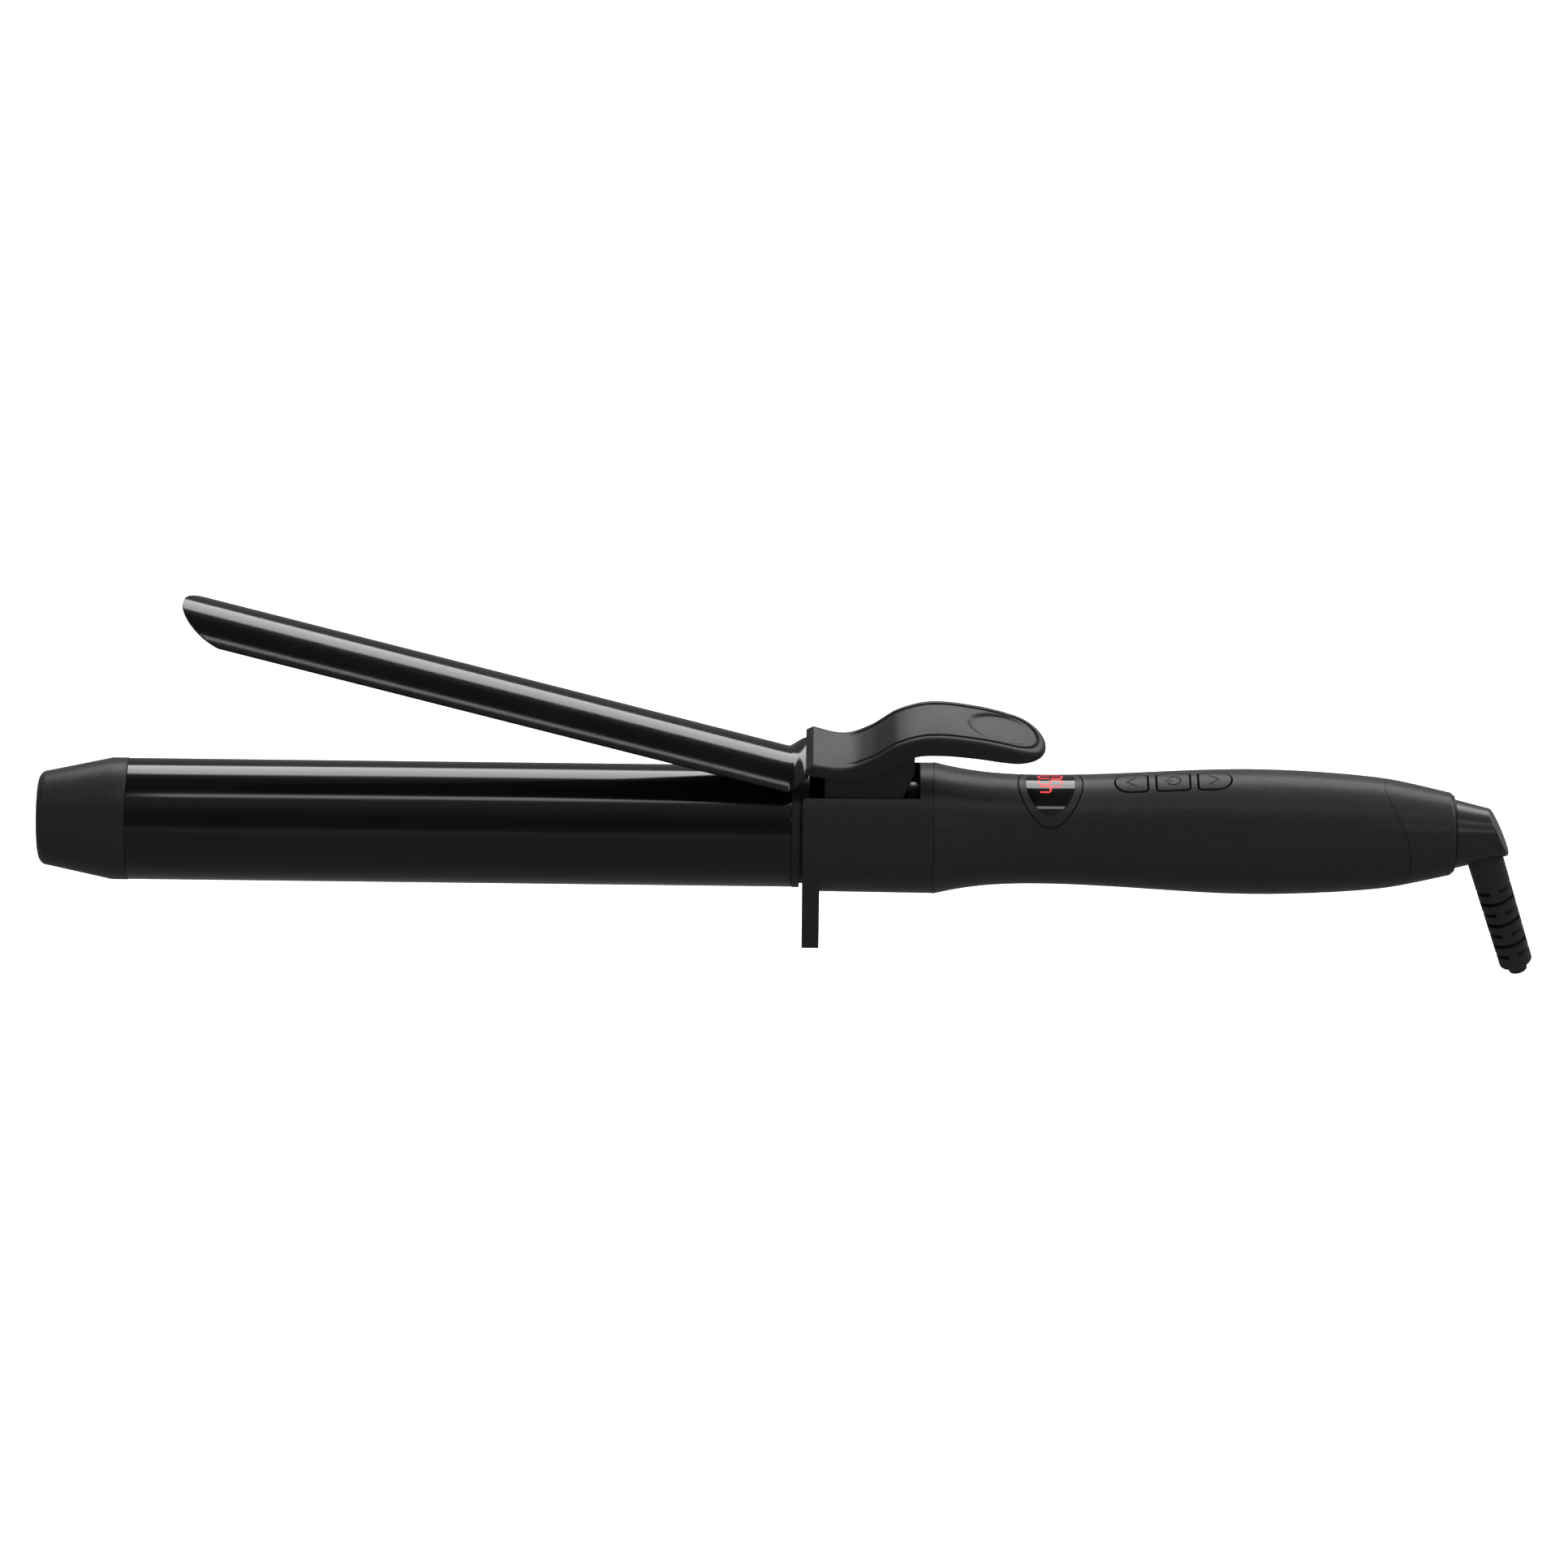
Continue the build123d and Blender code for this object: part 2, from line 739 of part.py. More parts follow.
# ---------------------------------------------------- end cap: tail of the handle
bushing_radius = 5.9
bushing_length = 6
with BuildPart() as end_cap:
    add(handle_solid)
    add(handle_core, mode=Mode.SUBTRACT)
    add(cap_side, mode=Mode.INTERSECT)
    with BuildSketch(across(cap_rear - 4.2)):
        Circle(10.2)
    extrude(amount=4.2)
    with BuildSketch(across(cap_rear - bushing_length)):
        Circle(bushing_radius)
    extrude(amount=bushing_length + 2, mode=Mode.SUBTRACT)
    # ledge that carries the contact block
    with BuildSketch(across(159.5)):
        with Locations((0, -10)):
            Rectangle(7, 1.2)
    extrude(amount=8.4)
end_cap.part.label = "end_cap"
export_step(end_cap.part, "parts/end_cap.step")

# ---------------------------------------------------- inner chassis: trough that carries the board
chassis_radius = 12.3
chassis_wall = 1.5
chassis_rear = 148
board_screw_x = (52, 136)
with BuildPart() as chassis:
    with BuildSketch(across(holder_rear)):
        Circle(14.9)
        with Locations((0, lead_bore_depth)):
            Circle(6, mode=Mode.SUBTRACT)
    extrude(amount=5.5)
    with BuildSketch(across(holder_rear + 5.5)):
        Circle(chassis_radius)
        Circle(chassis_radius - chassis_wall, mode=Mode.SUBTRACT)
        with Locations((0, board_floor + 20)):
            Rectangle(40, 40, mode=Mode.SUBTRACT)
    extrude(amount=chassis_rear - holder_rear - 5.5)
    with BuildSketch(level(board_floor)):
        with Locations(*[(x, 0) for x in board_screw_x]):
            Circle(2.6)
    extrude(amount=-13.2)
    with BuildSketch(level(board_floor)):
        with Locations(*[(x, 0) for x in board_screw_x]):
            Circle(1.0)
    extrude(amount=-8, mode=Mode.SUBTRACT)
chassis.part.label = "chassis"
export_step(chassis.part, "parts/chassis.step")

# ---------------------------------------------------- circuit board and what is on it
board_top = board_floor + board_thickness
with BuildPart() as circuit_board:
    with BuildSketch(level(board_floor)):
        with Locations((93, 0)):
            Rectangle(106, 23.2)
        with Locations(*[(x, 0) for x in board_screw_x]):
            Circle(1.25, mode=Mode.SUBTRACT)
    extrude(amount=board_thickness)
    fillet(circuit_board.edges().filter_by(Axis.Z), 1)
circuit_board.part.label = "circuit_board"
export_step(circuit_board.part, "parts/circuit_board.step")

with BuildPart() as board_screws:
    with BuildSketch(level(board_top)):
        with Locations(*[(x, 0) for x in board_screw_x]):
            Circle(2.0)
    extrude(amount=1.2)
    fillet(board_screws.edges().group_by(Axis.Z)[-1], 0.4)
    with BuildSketch(level(board_top)):
        with Locations(*[(x, 0) for x in board_screw_x]):
            Circle(modelled_thread)
    extrude(amount=-8)
board_screws.part.label = "board_screws"
export_step(board_screws.part, "parts/board_screws.step")

with BuildPart() as display_module:
    with BuildSketch(level(board_top)):
        with Locations((display_x, 0)):
            Rectangle(11, 16.4)
    extrude(amount=4.8)
    chamfer(display_module.edges().group_by(Axis.Z)[-1], 0.6)
display_module.part.label = "display_module"
export_step(display_module.part, "parts/display_module.step")

key_middles = [(front + rear) / 2 for front, rear, front_round, rear_round in keys.values()]
with BuildPart() as tact_switches:
    with BuildSketch(level(board_top)):
        with Locations(*[(x, 0) for x in key_middles]):
            Rectangle(6, 6)
    extrude(amount=3.4)
    with BuildSketch(level(board_top + 3.4)):
        with Locations(*[(x, 0) for x in key_middles]):
            Circle(1.7)
    extrude(amount=0.6)
tact_switches.part.label = "tact_switches"
export_step(tact_switches.part, "parts/tact_switches.step")

with BuildPart() as controller_chip:
    with BuildSketch(level(board_top)):
        with Locations((76.5, 5)):
            Rectangle(6, 5)
    extrude(amount=1.6)
    chamfer(controller_chip.edges().group_by(Axis.Z)[-1], 0.3)
controller_chip.part.label = "controller_chip"
export_step(controller_chip.part, "parts/controller_chip.step")

with BuildPart() as power_capacitor:
    with BuildSketch(level(board_top)):
        with Locations((125, 0)):
            Rectangle(13, 5)
    extrude(amount=8)
    fillet(power_capacitor.edges().filter_by(Axis.Z), 0.8)
power_capacitor.part.label = "power_capacitor"
export_step(power_capacitor.part, "parts/power_capacitor.step")

with BuildPart() as triac:
    with BuildSketch(level(board_top)):
        with Locations((125, -6)):
            Rectangle(10, 3)
    extrude(amount=6.5)
    chamfer(triac.edges().group_by(Axis.Z)[-1], 0.5)
triac.part.label = "triac"
export_step(triac.part, "parts/triac.step")

# ---------------------------------------------------- leads from the barrel to the board
lead_radius = 0.9
tab_end = stone_middle + stone_count * stone_pitch / 2 + 11
lead_bend = 4
live_path = wire_path(
    (-41, 0, fuse_depth),
    (-26, 0, fuse_depth),
    (-12, 2.4, -6.5),
    (44, 2.4, -6.5),
    (44, 2.4, board_floor - 0.05),
    radius=lead_bend,
)
neutral_path = wire_path(
    (tab_end, 4, 0),
    (-16, 4, -1),
    (-4, -2.4, -6.5),
    (44, -2.4, -6.5),
    (44, -2.4, board_floor - 0.05),
    radius=lead_bend,
)
with BuildPart() as heater_leads:
    for path in (live_path, neutral_path):
        with BuildSketch(Plane(origin=path @ 0, z_dir=path % 0)):
            Circle(lead_radius)
        sweep(path=path)
heater_leads.part.label = "heater_leads"
export_step(heater_leads.part, "parts/heater_leads.step")

sensor_paths = [
    wire_path(
        (-36, y, sensor_height),
        (-21, y, sensor_height),
        (-10, y, -9.6),
        (47.5, y, -9.6),
        (47.5, y, board_floor - 0.05),
        radius=lead_bend,
    )
    for y in (-0.7, 0.7)
]
with BuildPart() as sensor_leads:
    for path in sensor_paths:
        with BuildSketch(Plane(origin=path @ 0, z_dir=path % 0)):
            Circle(0.45)
        sweep(path=path)
sensor_leads.part.label = "sensor_leads"
export_step(sensor_leads.part, "parts/sensor_leads.step")

# ---------------------------------------------------- display bezel and lens, flush with the handle
bezel_floor = 5.2
with BuildPart() as display_bezel:
    with BuildSketch(level(bezel_floor)):
        with Locations((display_x, 0)):
            Ellipse(*bezel_size)
            Ellipse(lens_size[0] + 0.1, lens_size[1] + 0.1, mode=Mode.SUBTRACT)
    extrude(amount=30)
    add(handle_solid, mode=Mode.INTERSECT)
    add(handle_deep, mode=Mode.SUBTRACT)
display_bezel.part.label = "display_bezel"
export_step(display_bezel.part, "parts/display_bezel.step")

with BuildPart() as display_lens:
    with BuildSketch(level(0)):
        with Locations((display_x, 0)):
            Ellipse(*lens_size)
    extrude(amount=30)
    add(handle_solid, mode=Mode.INTERSECT)
    add(lens_core, mode=Mode.SUBTRACT)
display_lens.part.label = "display_lens"
export_step(display_lens.part, "parts/display_lens.step")

# ---------------------------------------------------- keys: cap, retaining lip and stem
for name, (front, rear, front_round, rear_round) in keys.items():
    key_cap = key_outline(name, 0)
    with BuildPart() as key:
        extrude(key_cap, amount=10)
        add(key_skin, mode=Mode.INTERSECT)
        with BuildSketch(level(lip_floor)):
            with Locations(((front + rear) / 2, 0)):
                Rectangle(rear - front + 1.5, 10.6)
        extrude(amount=lip_thickness)
        with BuildSketch(level(stem_floor)):
            with Locations(((front + rear) / 2, 0)):
                Circle(stem_radius)
        extrude(amount=lip_floor - stem_floor)
    key.part.label = name
    export_step(key.part, f"parts/{name}.step")

# ---------------------------------------------------- swivel: bushing, elbow, clip and slip rings
with BuildPart() as swivel_bushing:
    with BuildSketch(across(cap_rear - bushing_length)):
        Circle(bushing_radius)
        Circle(shaft_radius + running_gap, mode=Mode.SUBTRACT)
    extrude(amount=bushing_length)
    with BuildSketch(across(cap_rear - bushing_length)):
        Circle(7.5)
        Circle(shaft_radius + running_gap, mode=Mode.SUBTRACT)
    extrude(amount=1.5)
swivel_bushing.part.label = "swivel_bushing"
export_step(swivel_bushing.part, "parts/swivel_bushing.step")

conductor_bore = 2.4
boot_axis_start = point(boot_start_x, 0, 0)
boot_direction = (sin(radians(boot_lean)), 0, -cos(radians(boot_lean)))


def along_boot(distance):
    """Plane square to the boot, distance along it from the barrel's axis."""
    origin = [start + distance * step for start, step in zip(boot_axis_start, boot_direction)]
    return turned(Plane(origin=origin, x_dir=(0, 1, 0), z_dir=boot_direction))


with BuildPart() as swivel_elbow:
    with BuildSketch(SIDE):
        with BuildLine():
            Polyline(
                (shaft_front, 0),
                (shaft_front, shaft_radius),
                (clip_groove, shaft_radius),
                (clip_groove, clip_groove_radius),
                (clip_groove + 1, clip_groove_radius),
                (clip_groove + 1, shaft_radius),
                (elbow_front, shaft_radius),
                (elbow_front, elbow_radius),
                (elbow_rear + 2, elbow_rear_radius - 0.5),
                (elbow_rear + 2, 0),
                close=True,
            )
        make_face()
    revolve(axis=BARREL_AXIS)
    # slanted end face
    with BuildSketch(turned(SIDE)):
        with BuildLine():
            Polyline((180.8, 6.95), (178.6, 12), (195, 12), (195, -12), (189.9, -12), close=True)
        make_face()
    extrude(amount=20, both=True, mode=Mode.SUBTRACT)
    end_rim = swivel_elbow.faces().filter_by(GeomType.PLANE).sort_by(Axis.X)[-1].edges()
    fillet(end_rim, 0.8)
    # way for the conductors and socket for the boot
    with BuildSketch(across(shaft_front - 1)):
        Circle(conductor_bore)
    extrude(amount=boot_start_x - shaft_front + 1, mode=Mode.SUBTRACT)
    with BuildSketch(along_boot(0)):
        Circle(conductor_bore)
    extrude(amount=12, mode=Mode.SUBTRACT)
    with BuildSketch(along_boot(boot_top)):
        Circle(boot_top_radius)
    extrude(amount=12, mode=Mode.SUBTRACT)
swivel_elbow.part.label = "swivel_elbow"
export_step(swivel_elbow.part, "parts/swivel_elbow.step")

with BuildPart() as retaining_clip:
    with BuildSketch(across(clip_groove + 0.05)):
        Circle(6.2)
        Circle(clip_groove_radius + 0.05, mode=Mode.SUBTRACT)
        with Locations((0, 5)):
            Rectangle(4, 6, mode=Mode.SUBTRACT)
    extrude(amount=0.9)
retaining_clip.part.label = "retaining_clip"
export_step(retaining_clip.part, "parts/retaining_clip.step")

with BuildPart() as slip_rings:
    for ring_x in (156.5, 160.5):
        with BuildSketch(across(ring_x)):
            Circle(5.3)
            Circle(shaft_radius, mode=Mode.SUBTRACT)
        extrude(amount=2.2)
slip_rings.part.label = "slip_rings"
export_step(slip_rings.part, "parts/slip_rings.step")

with BuildPart() as contact_block:
    with BuildSketch(across(155)):
        with Locations((0, -8.2)):
            Rectangle(7, 2.4)
    extrude(amount=9)
contact_block.part.label = "contact_block"
export_step(contact_block.part, "parts/contact_block.step")

with BuildPart() as contact_springs:
    for ring_x in (156.9, 160.9):
        with BuildSketch(across(ring_x)):
            with BuildLine():
                Polyline(
                    (-3.2, -7),
                    (-3.2, -5.45),
                    (3.2, -5.45),
                    (3.2, -5.8),
                    (-2.8, -5.8),
                    (-2.8, -7),
                    close=True,
                )
            make_face()
        extrude(amount=1.4)
contact_springs.part.label = "contact_springs"
export_step(contact_springs.part, "parts/contact_springs.step")

supply_paths = [
    wire_path((155, y, -8), (142, y, -8), (142, y, board_floor - 0.05), radius=lead_bend)
    for y in (-2, 2)
]
with BuildPart() as supply_leads:
    for path in supply_paths:
        with BuildSketch(Plane(origin=path @ 0, z_dir=path % 0)):
            Circle(0.8)
        sweep(path=path)
supply_leads.part.label = "supply_leads"
export_step(supply_leads.part, "parts/supply_leads.step")

# ---------------------------------------------------- cord boot: ringed rubber strain relief
nose_length = 2.3
nose_radius = 2.5
last_slot = boot_length - 4.2
slot_cut = 3.2
slot_depth_middle = 4.5
with BuildPart() as cord_boot:
    with BuildSketch(along_boot(boot_top)):
        Circle(boot_top_radius)
    with BuildSketch(along_boot(boot_length)):
        Circle(boot_end_radius)
    loft()
    boot_shoulder = cord_boot.edges().filter_by(GeomType.CIRCLE).sort_by(Axis.Z)[0]
    fillet(boot_shoulder, 0.8)
    with BuildSketch(along_boot(boot_length - 1)):
        Circle(nose_radius)
    extrude(amount=nose_length + 1)
    nose_rim = cord_boot.edges().filter_by(GeomType.CIRCLE).sort_by(Axis.Z)[0]
    fillet(nose_rim, 0.5)
    with BuildSketch(along_boot(boot_top)):
        Circle(cord_bore_radius)
    extrude(amount=boot_length + nose_length, mode=Mode.SUBTRACT)
    # rings of two slots, each ring a quarter turn on from the last
    for row in range(slot_count):
        ring = along_boot(last_slot - slot_pitch * (slot_count - 1 - row))
        ring_axis = Axis(ring.origin, ring.z_dir)
        quarter = 90 * (row % 2)
        for half in (0, 180):
            radial = ring.x_dir.rotate(Axis((0, 0, 0), ring.z_dir), quarter + half + slot_bridge / 2)
            with BuildSketch(Plane(origin=ring.origin, x_dir=radial, z_dir=radial.cross(ring.z_dir))):
                with Locations((slot_depth_middle, 0)):
                    Rectangle(slot_cut, slot_width)
            revolve(axis=ring_axis, revolution_arc=180 - slot_bridge, mode=Mode.SUBTRACT)
cord_boot.part.label = "cord_boot"
export_step(cord_boot.part, "parts/cord_boot.step")
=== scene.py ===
import bpy
from math import asin, atan2, ceil, cos, hypot, pi, radians, sin, sqrt, tau
from mathutils import Matrix, Vector


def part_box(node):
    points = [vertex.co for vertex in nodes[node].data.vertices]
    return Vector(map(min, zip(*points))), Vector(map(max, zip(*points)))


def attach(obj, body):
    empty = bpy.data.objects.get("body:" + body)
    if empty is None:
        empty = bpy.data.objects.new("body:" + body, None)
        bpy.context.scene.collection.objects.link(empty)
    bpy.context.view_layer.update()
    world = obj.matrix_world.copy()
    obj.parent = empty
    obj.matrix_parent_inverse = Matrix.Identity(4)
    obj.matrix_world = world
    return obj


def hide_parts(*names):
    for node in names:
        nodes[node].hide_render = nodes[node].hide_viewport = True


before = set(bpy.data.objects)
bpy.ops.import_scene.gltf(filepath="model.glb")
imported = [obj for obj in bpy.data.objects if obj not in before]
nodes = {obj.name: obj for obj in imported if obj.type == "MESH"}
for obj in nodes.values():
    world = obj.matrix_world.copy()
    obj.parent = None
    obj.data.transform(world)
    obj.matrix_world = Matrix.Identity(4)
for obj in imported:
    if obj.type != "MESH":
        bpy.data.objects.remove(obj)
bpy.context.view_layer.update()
scene = bpy.context.scene

# Studio: a pale paper floor well below the iron, so that it takes only a faint soft shadow.
# Strip softboxes high behind and overhead draw the straight stripes on the coated metal, and a small
# one in front, beyond the tail, shows in the tapered pieces only. Pale walls give the rest.
scene.view_settings.view_transform = "Standard"
walls = bpy.data.worlds.new("studio_walls")
walls.use_nodes = True
room = walls.node_tree
look = room.nodes.new("ShaderNodeTexCoord")
split = room.nodes.new("ShaderNodeSeparateXYZ")
forward = room.nodes.new("ShaderNodeMath")
forward.operation = "MULTIPLY"
forward.inputs[1].default_value = -1
rise = room.nodes.new("ShaderNodeMath")
rise.operation = "ARCTAN2"
turn_share = room.nodes.new("ShaderNodeMapRange")
turn_share.inputs["From Min"].default_value = -pi
turn_share.inputs["From Max"].default_value = pi
shades = room.nodes.new("ShaderNodeValToRGB")
room.links.new(look.outputs["Generated"], split.inputs["Vector"])
room.links.new(split.outputs["Y"], forward.inputs[0])
room.links.new(split.outputs["Z"], rise.inputs[0])
room.links.new(forward.outputs["Value"], rise.inputs[1])
room.links.new(rise.outputs["Value"], turn_share.inputs["Value"])
room.links.new(turn_share.outputs["Result"], shades.inputs["Fac"])
# (degrees round from the front horizon over the top, radiance of the room there)
room_shades = [(-180, 0.20), (-90, 0.21), (-20, 0.22), (6, 0.22), (9, 0.30), (16, 0.30)]
room_shades += [(20, 0.12), (30, 0.07), (42, 0.08), (56, 0.16), (62, 0.24), (75, 0.26)]
room_shades += [(90, 0.06), (118, 0.06), (128, 0.25), (180, 0.20)]
while len(shades.color_ramp.elements) > 1:
    shades.color_ramp.elements.remove(shades.color_ramp.elements[-1])
for count, (degrees_round, radiance) in enumerate(room_shades):
    share = degrees_round / 360 + 0.5
    stop = shades.color_ramp.elements.new(share) if count else shades.color_ramp.elements[0]
    stop.position = share
    stop.color = (radiance, radiance, radiance, 1)
room.links.new(shades.outputs["Color"], room.nodes["Background"].inputs["Color"])
scene.world = walls
aim = Vector((-0.00735, 0.0062, 0.0376))


def softbox(name, height, distance, width, length, middle, radiance):
    """Softbox that lies along the iron, height degrees round from the front horizon over the top."""
    lamp = bpy.data.lights.new(name, "AREA")
    lamp.shape = "RECTANGLE"
    lamp.size = length
    lamp.size_y = width
    lamp.energy = radiance * pi * length * width
    stand = bpy.data.objects.new(name, lamp)
    scene.collection.objects.link(stand)
    way = Vector((0, -cos(radians(height)), sin(radians(height))))
    stand.location = aim + way * distance + Vector((middle, 0, 0))
    stand.rotation_euler = (radians(90 - height), 0, 0)


softbox("rear_strip", 144, 1.0, 0.50, 2.5, 0.8, 5.5)
softbox("top_strip", 80, 1.2, 0.12, 2.4, 0.65, 3.4)
softbox("tail_fill", 48, 1.2, 0.10, 0.4, 0.82, 6.5)

view_height = radians(34)
view_distance = 1.93
view_roll = radians(0.67)
camera = bpy.data.objects.new("camera", bpy.data.cameras.new("camera"))
scene.collection.objects.link(camera)
camera.data.sensor_width = 36
camera.data.lens = 168
camera.data.clip_end = 60
camera.location = aim + Vector((0, -cos(view_height), sin(view_height))) * view_distance
camera.rotation_euler = (pi / 2 - view_height, 0, 0)
camera.rotation_euler.rotate_axis("Z", view_roll)
scene.camera = camera

floor_drop = 0.25
bpy.ops.object.select_all(action="DESELECT")
bpy.ops.mesh.primitive_plane_add(size=40, location=(0, 0, -floor_drop))
floor = bpy.context.object
floor.name = "floor"
bpy.ops.object.transform_apply(location=True)
paper = bpy.data.materials.new("floor_paper")
paper.use_nodes = True
paper_surface = paper.node_tree.nodes["Principled BSDF"]
paper_surface.inputs["Base Color"].default_value = (0.9, 0.9, 0.9, 1)
paper_surface.inputs["Roughness"].default_value = 1
paper_surface.inputs["Emission Color"].default_value = (1, 1, 1, 1)
paper_surface.inputs["Emission Strength"].default_value = 0.6
floor.data.materials.append(paper)
floor.visible_glossy = False
floor.visible_diffuse = False

# Barrel: a drawn aluminium tube of 32 mm with a gloss black coating, polished lengthwise.
# It is turned here from its wall's profile, and its two rims are rounded.
mm = 0.001
barrel_low, barrel_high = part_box("barrel")
axis_height = (barrel_low.z + barrel_high.z) / 2
collar_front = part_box("collar_housing")[0].x


def place(x, y, z):
    """Point from millimetres behind the collar's front, to the side and above the barrel's axis."""
    return Vector((collar_front + x * mm, y * mm, axis_height + z * mm))


def finished(piece, name, body, slot, material, *replaced, smooth=30):
    """Names a modelled piece, smooths it, and gives it its material and body; its slot argument is not
    used.
    """
    piece.name = name
    piece.data.name = name
    piece.data.materials.clear()
    piece.data.materials.append(material)
    bpy.ops.object.select_all(action="DESELECT")
    piece.select_set(True)
    bpy.context.view_layer.objects.active = piece
    if smooth:
        bpy.ops.object.shade_smooth_by_angle(angle=radians(smooth))
    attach(piece, body)
    if replaced:
        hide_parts(*replaced)


def profile_wire(first):
    """New object of one vertex, in edit mode, ready to be extruded point by point."""
    bpy.ops.object.select_all(action="DESELECT")
    bpy.ops.mesh.primitive_plane_add(size=mm, location=first)
    bpy.ops.object.transform_apply(location=True)
    bpy.ops.object.mode_set(mode="EDIT")
    bpy.ops.mesh.select_all(action="SELECT")
    bpy.ops.mesh.merge(type="CENTER")
    return bpy.context.object


def modifier(piece, kind, **settings):
    """Adds a modifier with its settings and applies it."""
    bpy.ops.object.select_all(action="DESELECT")
    piece.select_set(True)
    bpy.context.view_layer.objects.active = piece
    made = piece.modifiers.new(kind.lower(), kind)
    for key, value in settings.items():
        setattr(made, key, value)
    bpy.ops.object.modifier_apply(modifier=made.name)


def softened(piece, width, corner):
    """Rounds the edges that turn by more than corner degrees, width in millimetres."""
    settings = {"segments": 3, "limit_method": "ANGLE", "angle_limit": radians(corner)}
    modifier(piece, "BEVEL", width=width * mm, **settings)


def turned(points, rounding, turns=192):
    """Closed shell turned about the barrel's axis from (distance, radius) points in millimetres."""
    shell = profile_wire(place(points[0][0], 0, points[0][1]))
    for near, far in zip(points, points[1:]):
        step = ((far[0] - near[0]) * mm, 0, (far[1] - near[1]) * mm)
        bpy.ops.mesh.extrude_region_move(TRANSFORM_OT_translate={"value": step})
    bpy.ops.mesh.select_all(action="SELECT")
    bpy.ops.mesh.spin(steps=turns, angle=tau, center=place(0, 0, 0), axis=(1, 0, 0))
    bpy.ops.mesh.select_all(action="SELECT")
    bpy.ops.mesh.remove_doubles(threshold=0.002 * mm)
    bpy.ops.mesh.normals_make_consistent(inside=False)
    bpy.ops.object.mode_set(mode="OBJECT")
    softened(shell, rounding, 14)
    return shell


def new_finish(name, colour, roughness, specular=0.5):
    """Plain finish and its parts: the material, its node tree and its surface shader."""
    material = bpy.data.materials.new(name)
    material.use_nodes = True
    surface = material.node_tree.nodes["Principled BSDF"]
    surface.inputs["Base Color"].default_value = (*colour, 1)
    surface.inputs["Roughness"].default_value = roughness
    surface.inputs["Specular IOR Level"].default_value = specular
    return material, material.node_tree, surface


def noise_field(tree, scale, detail, stretch=(1, 1, 1)):
    """Noise fixed to the object, stretched along its axes, with features of about 1/scale metres."""
    spot = tree.nodes.new("ShaderNodeTexCoord")
    laid = tree.nodes.new("ShaderNodeMapping")
    laid.inputs["Scale"].default_value = stretch
    noise = tree.nodes.new("ShaderNodeTexNoise")
    noise.inputs["Scale"].default_value = scale
    noise.inputs["Detail"].default_value = detail
    tree.links.new(spot.outputs["Object"], laid.inputs["Vector"])
    tree.links.new(laid.outputs["Vector"], noise.inputs["Vector"])
    return noise.outputs["Fac"]


def spread(tree, field, low, high):
    """Field stretched from its usual middle range to run from low to high."""
    ramp = tree.nodes.new("ShaderNodeMapRange")
    ramp.inputs["From Min"].default_value = 0.3
    ramp.inputs["From Max"].default_value = 0.7
    ramp.inputs["To Min"].default_value = low
    ramp.inputs["To Max"].default_value = high
    tree.links.new(field, ramp.inputs["Value"])
    return ramp.outputs["Result"]


def relief(tree, surface, field, height):
    """Small relief of that height in metres, added under what the surface already has."""
    bump = tree.nodes.new("ShaderNodeBump")
    bump.inputs["Distance"].default_value = height
    tree.links.new(field, bump.inputs["Height"])
    if surface.inputs["Normal"].is_linked:
        tree.links.new(surface.inputs["Normal"].links[0].from_socket, bump.inputs["Normal"])
    tree.links.new(bump.outputs["Normal"], surface.inputs["Normal"])


def tinted(tree, surface, field, dark, light):
    """Colour that drifts between two close tones."""
    tones = tree.nodes.new("ShaderNodeMix")
    tones.data_type = "RGBA"
    tones.inputs["A"].default_value = (*dark, 1)
    tones.inputs["B"].default_value = (*light, 1)
    tree.links.new(field, tones.inputs["Factor"])
    tree.links.new(tones.outputs["Result"], surface.inputs["Base Color"])


coating, tree, surface = new_finish("coated_metal", (0.006, 0.006, 0.0065), 0.11)
drawn = noise_field(tree, 1400, 3, stretch=(0.01, 1, 1))
tree.links.new(spread(tree, drawn, 0.085, 0.15), surface.inputs["Roughness"])
clouds = spread(tree, noise_field(tree, 60, 2), 0, 1)
tinted(tree, surface, clouds, (0.0052, 0.0052, 0.0056), (0.0075, 0.0075, 0.0078))
relief(tree, surface, drawn, 0.0006 * mm)

barrel_radius = 16.0
barrel_wall = 1.2
barrel_tip = -177.7
barrel_root = -2.9
barrel_rim = 0.28
tube = turned(
    [
        (barrel_tip, barrel_radius),
        (barrel_root, barrel_radius),
        (barrel_root, barrel_radius - barrel_wall),
        (barrel_tip, barrel_radius - barrel_wall),
        (barrel_tip, barrel_radius),
    ],
    barrel_rim,
    turns=256,
)
finished(tube, "barrel_tube", "root", "coated_metal", coating, "barrel", smooth=35)

# Cool tip: a hollow moulded nose with a soft-touch coat, pushed into the barrel by its spigot.
# A short straight band, a long taper and a flat-domed nose with a rounded shoulder.
soft_coat, tree, surface = new_finish("soft_touch", (0.054, 0.054, 0.055), 0.3, 0.095)
grain = noise_field(tree, 2600, 4)
tree.links.new(spread(tree, grain, 0.24, 0.36), surface.inputs["Roughness"])
clouds = spread(tree, noise_field(tree, 1500, 5), 0, 1)
tinted(tree, surface, clouds, (0.047, 0.047, 0.048), (0.061, 0.061, 0.062))
relief(tree, surface, grain, 0.025 * mm)

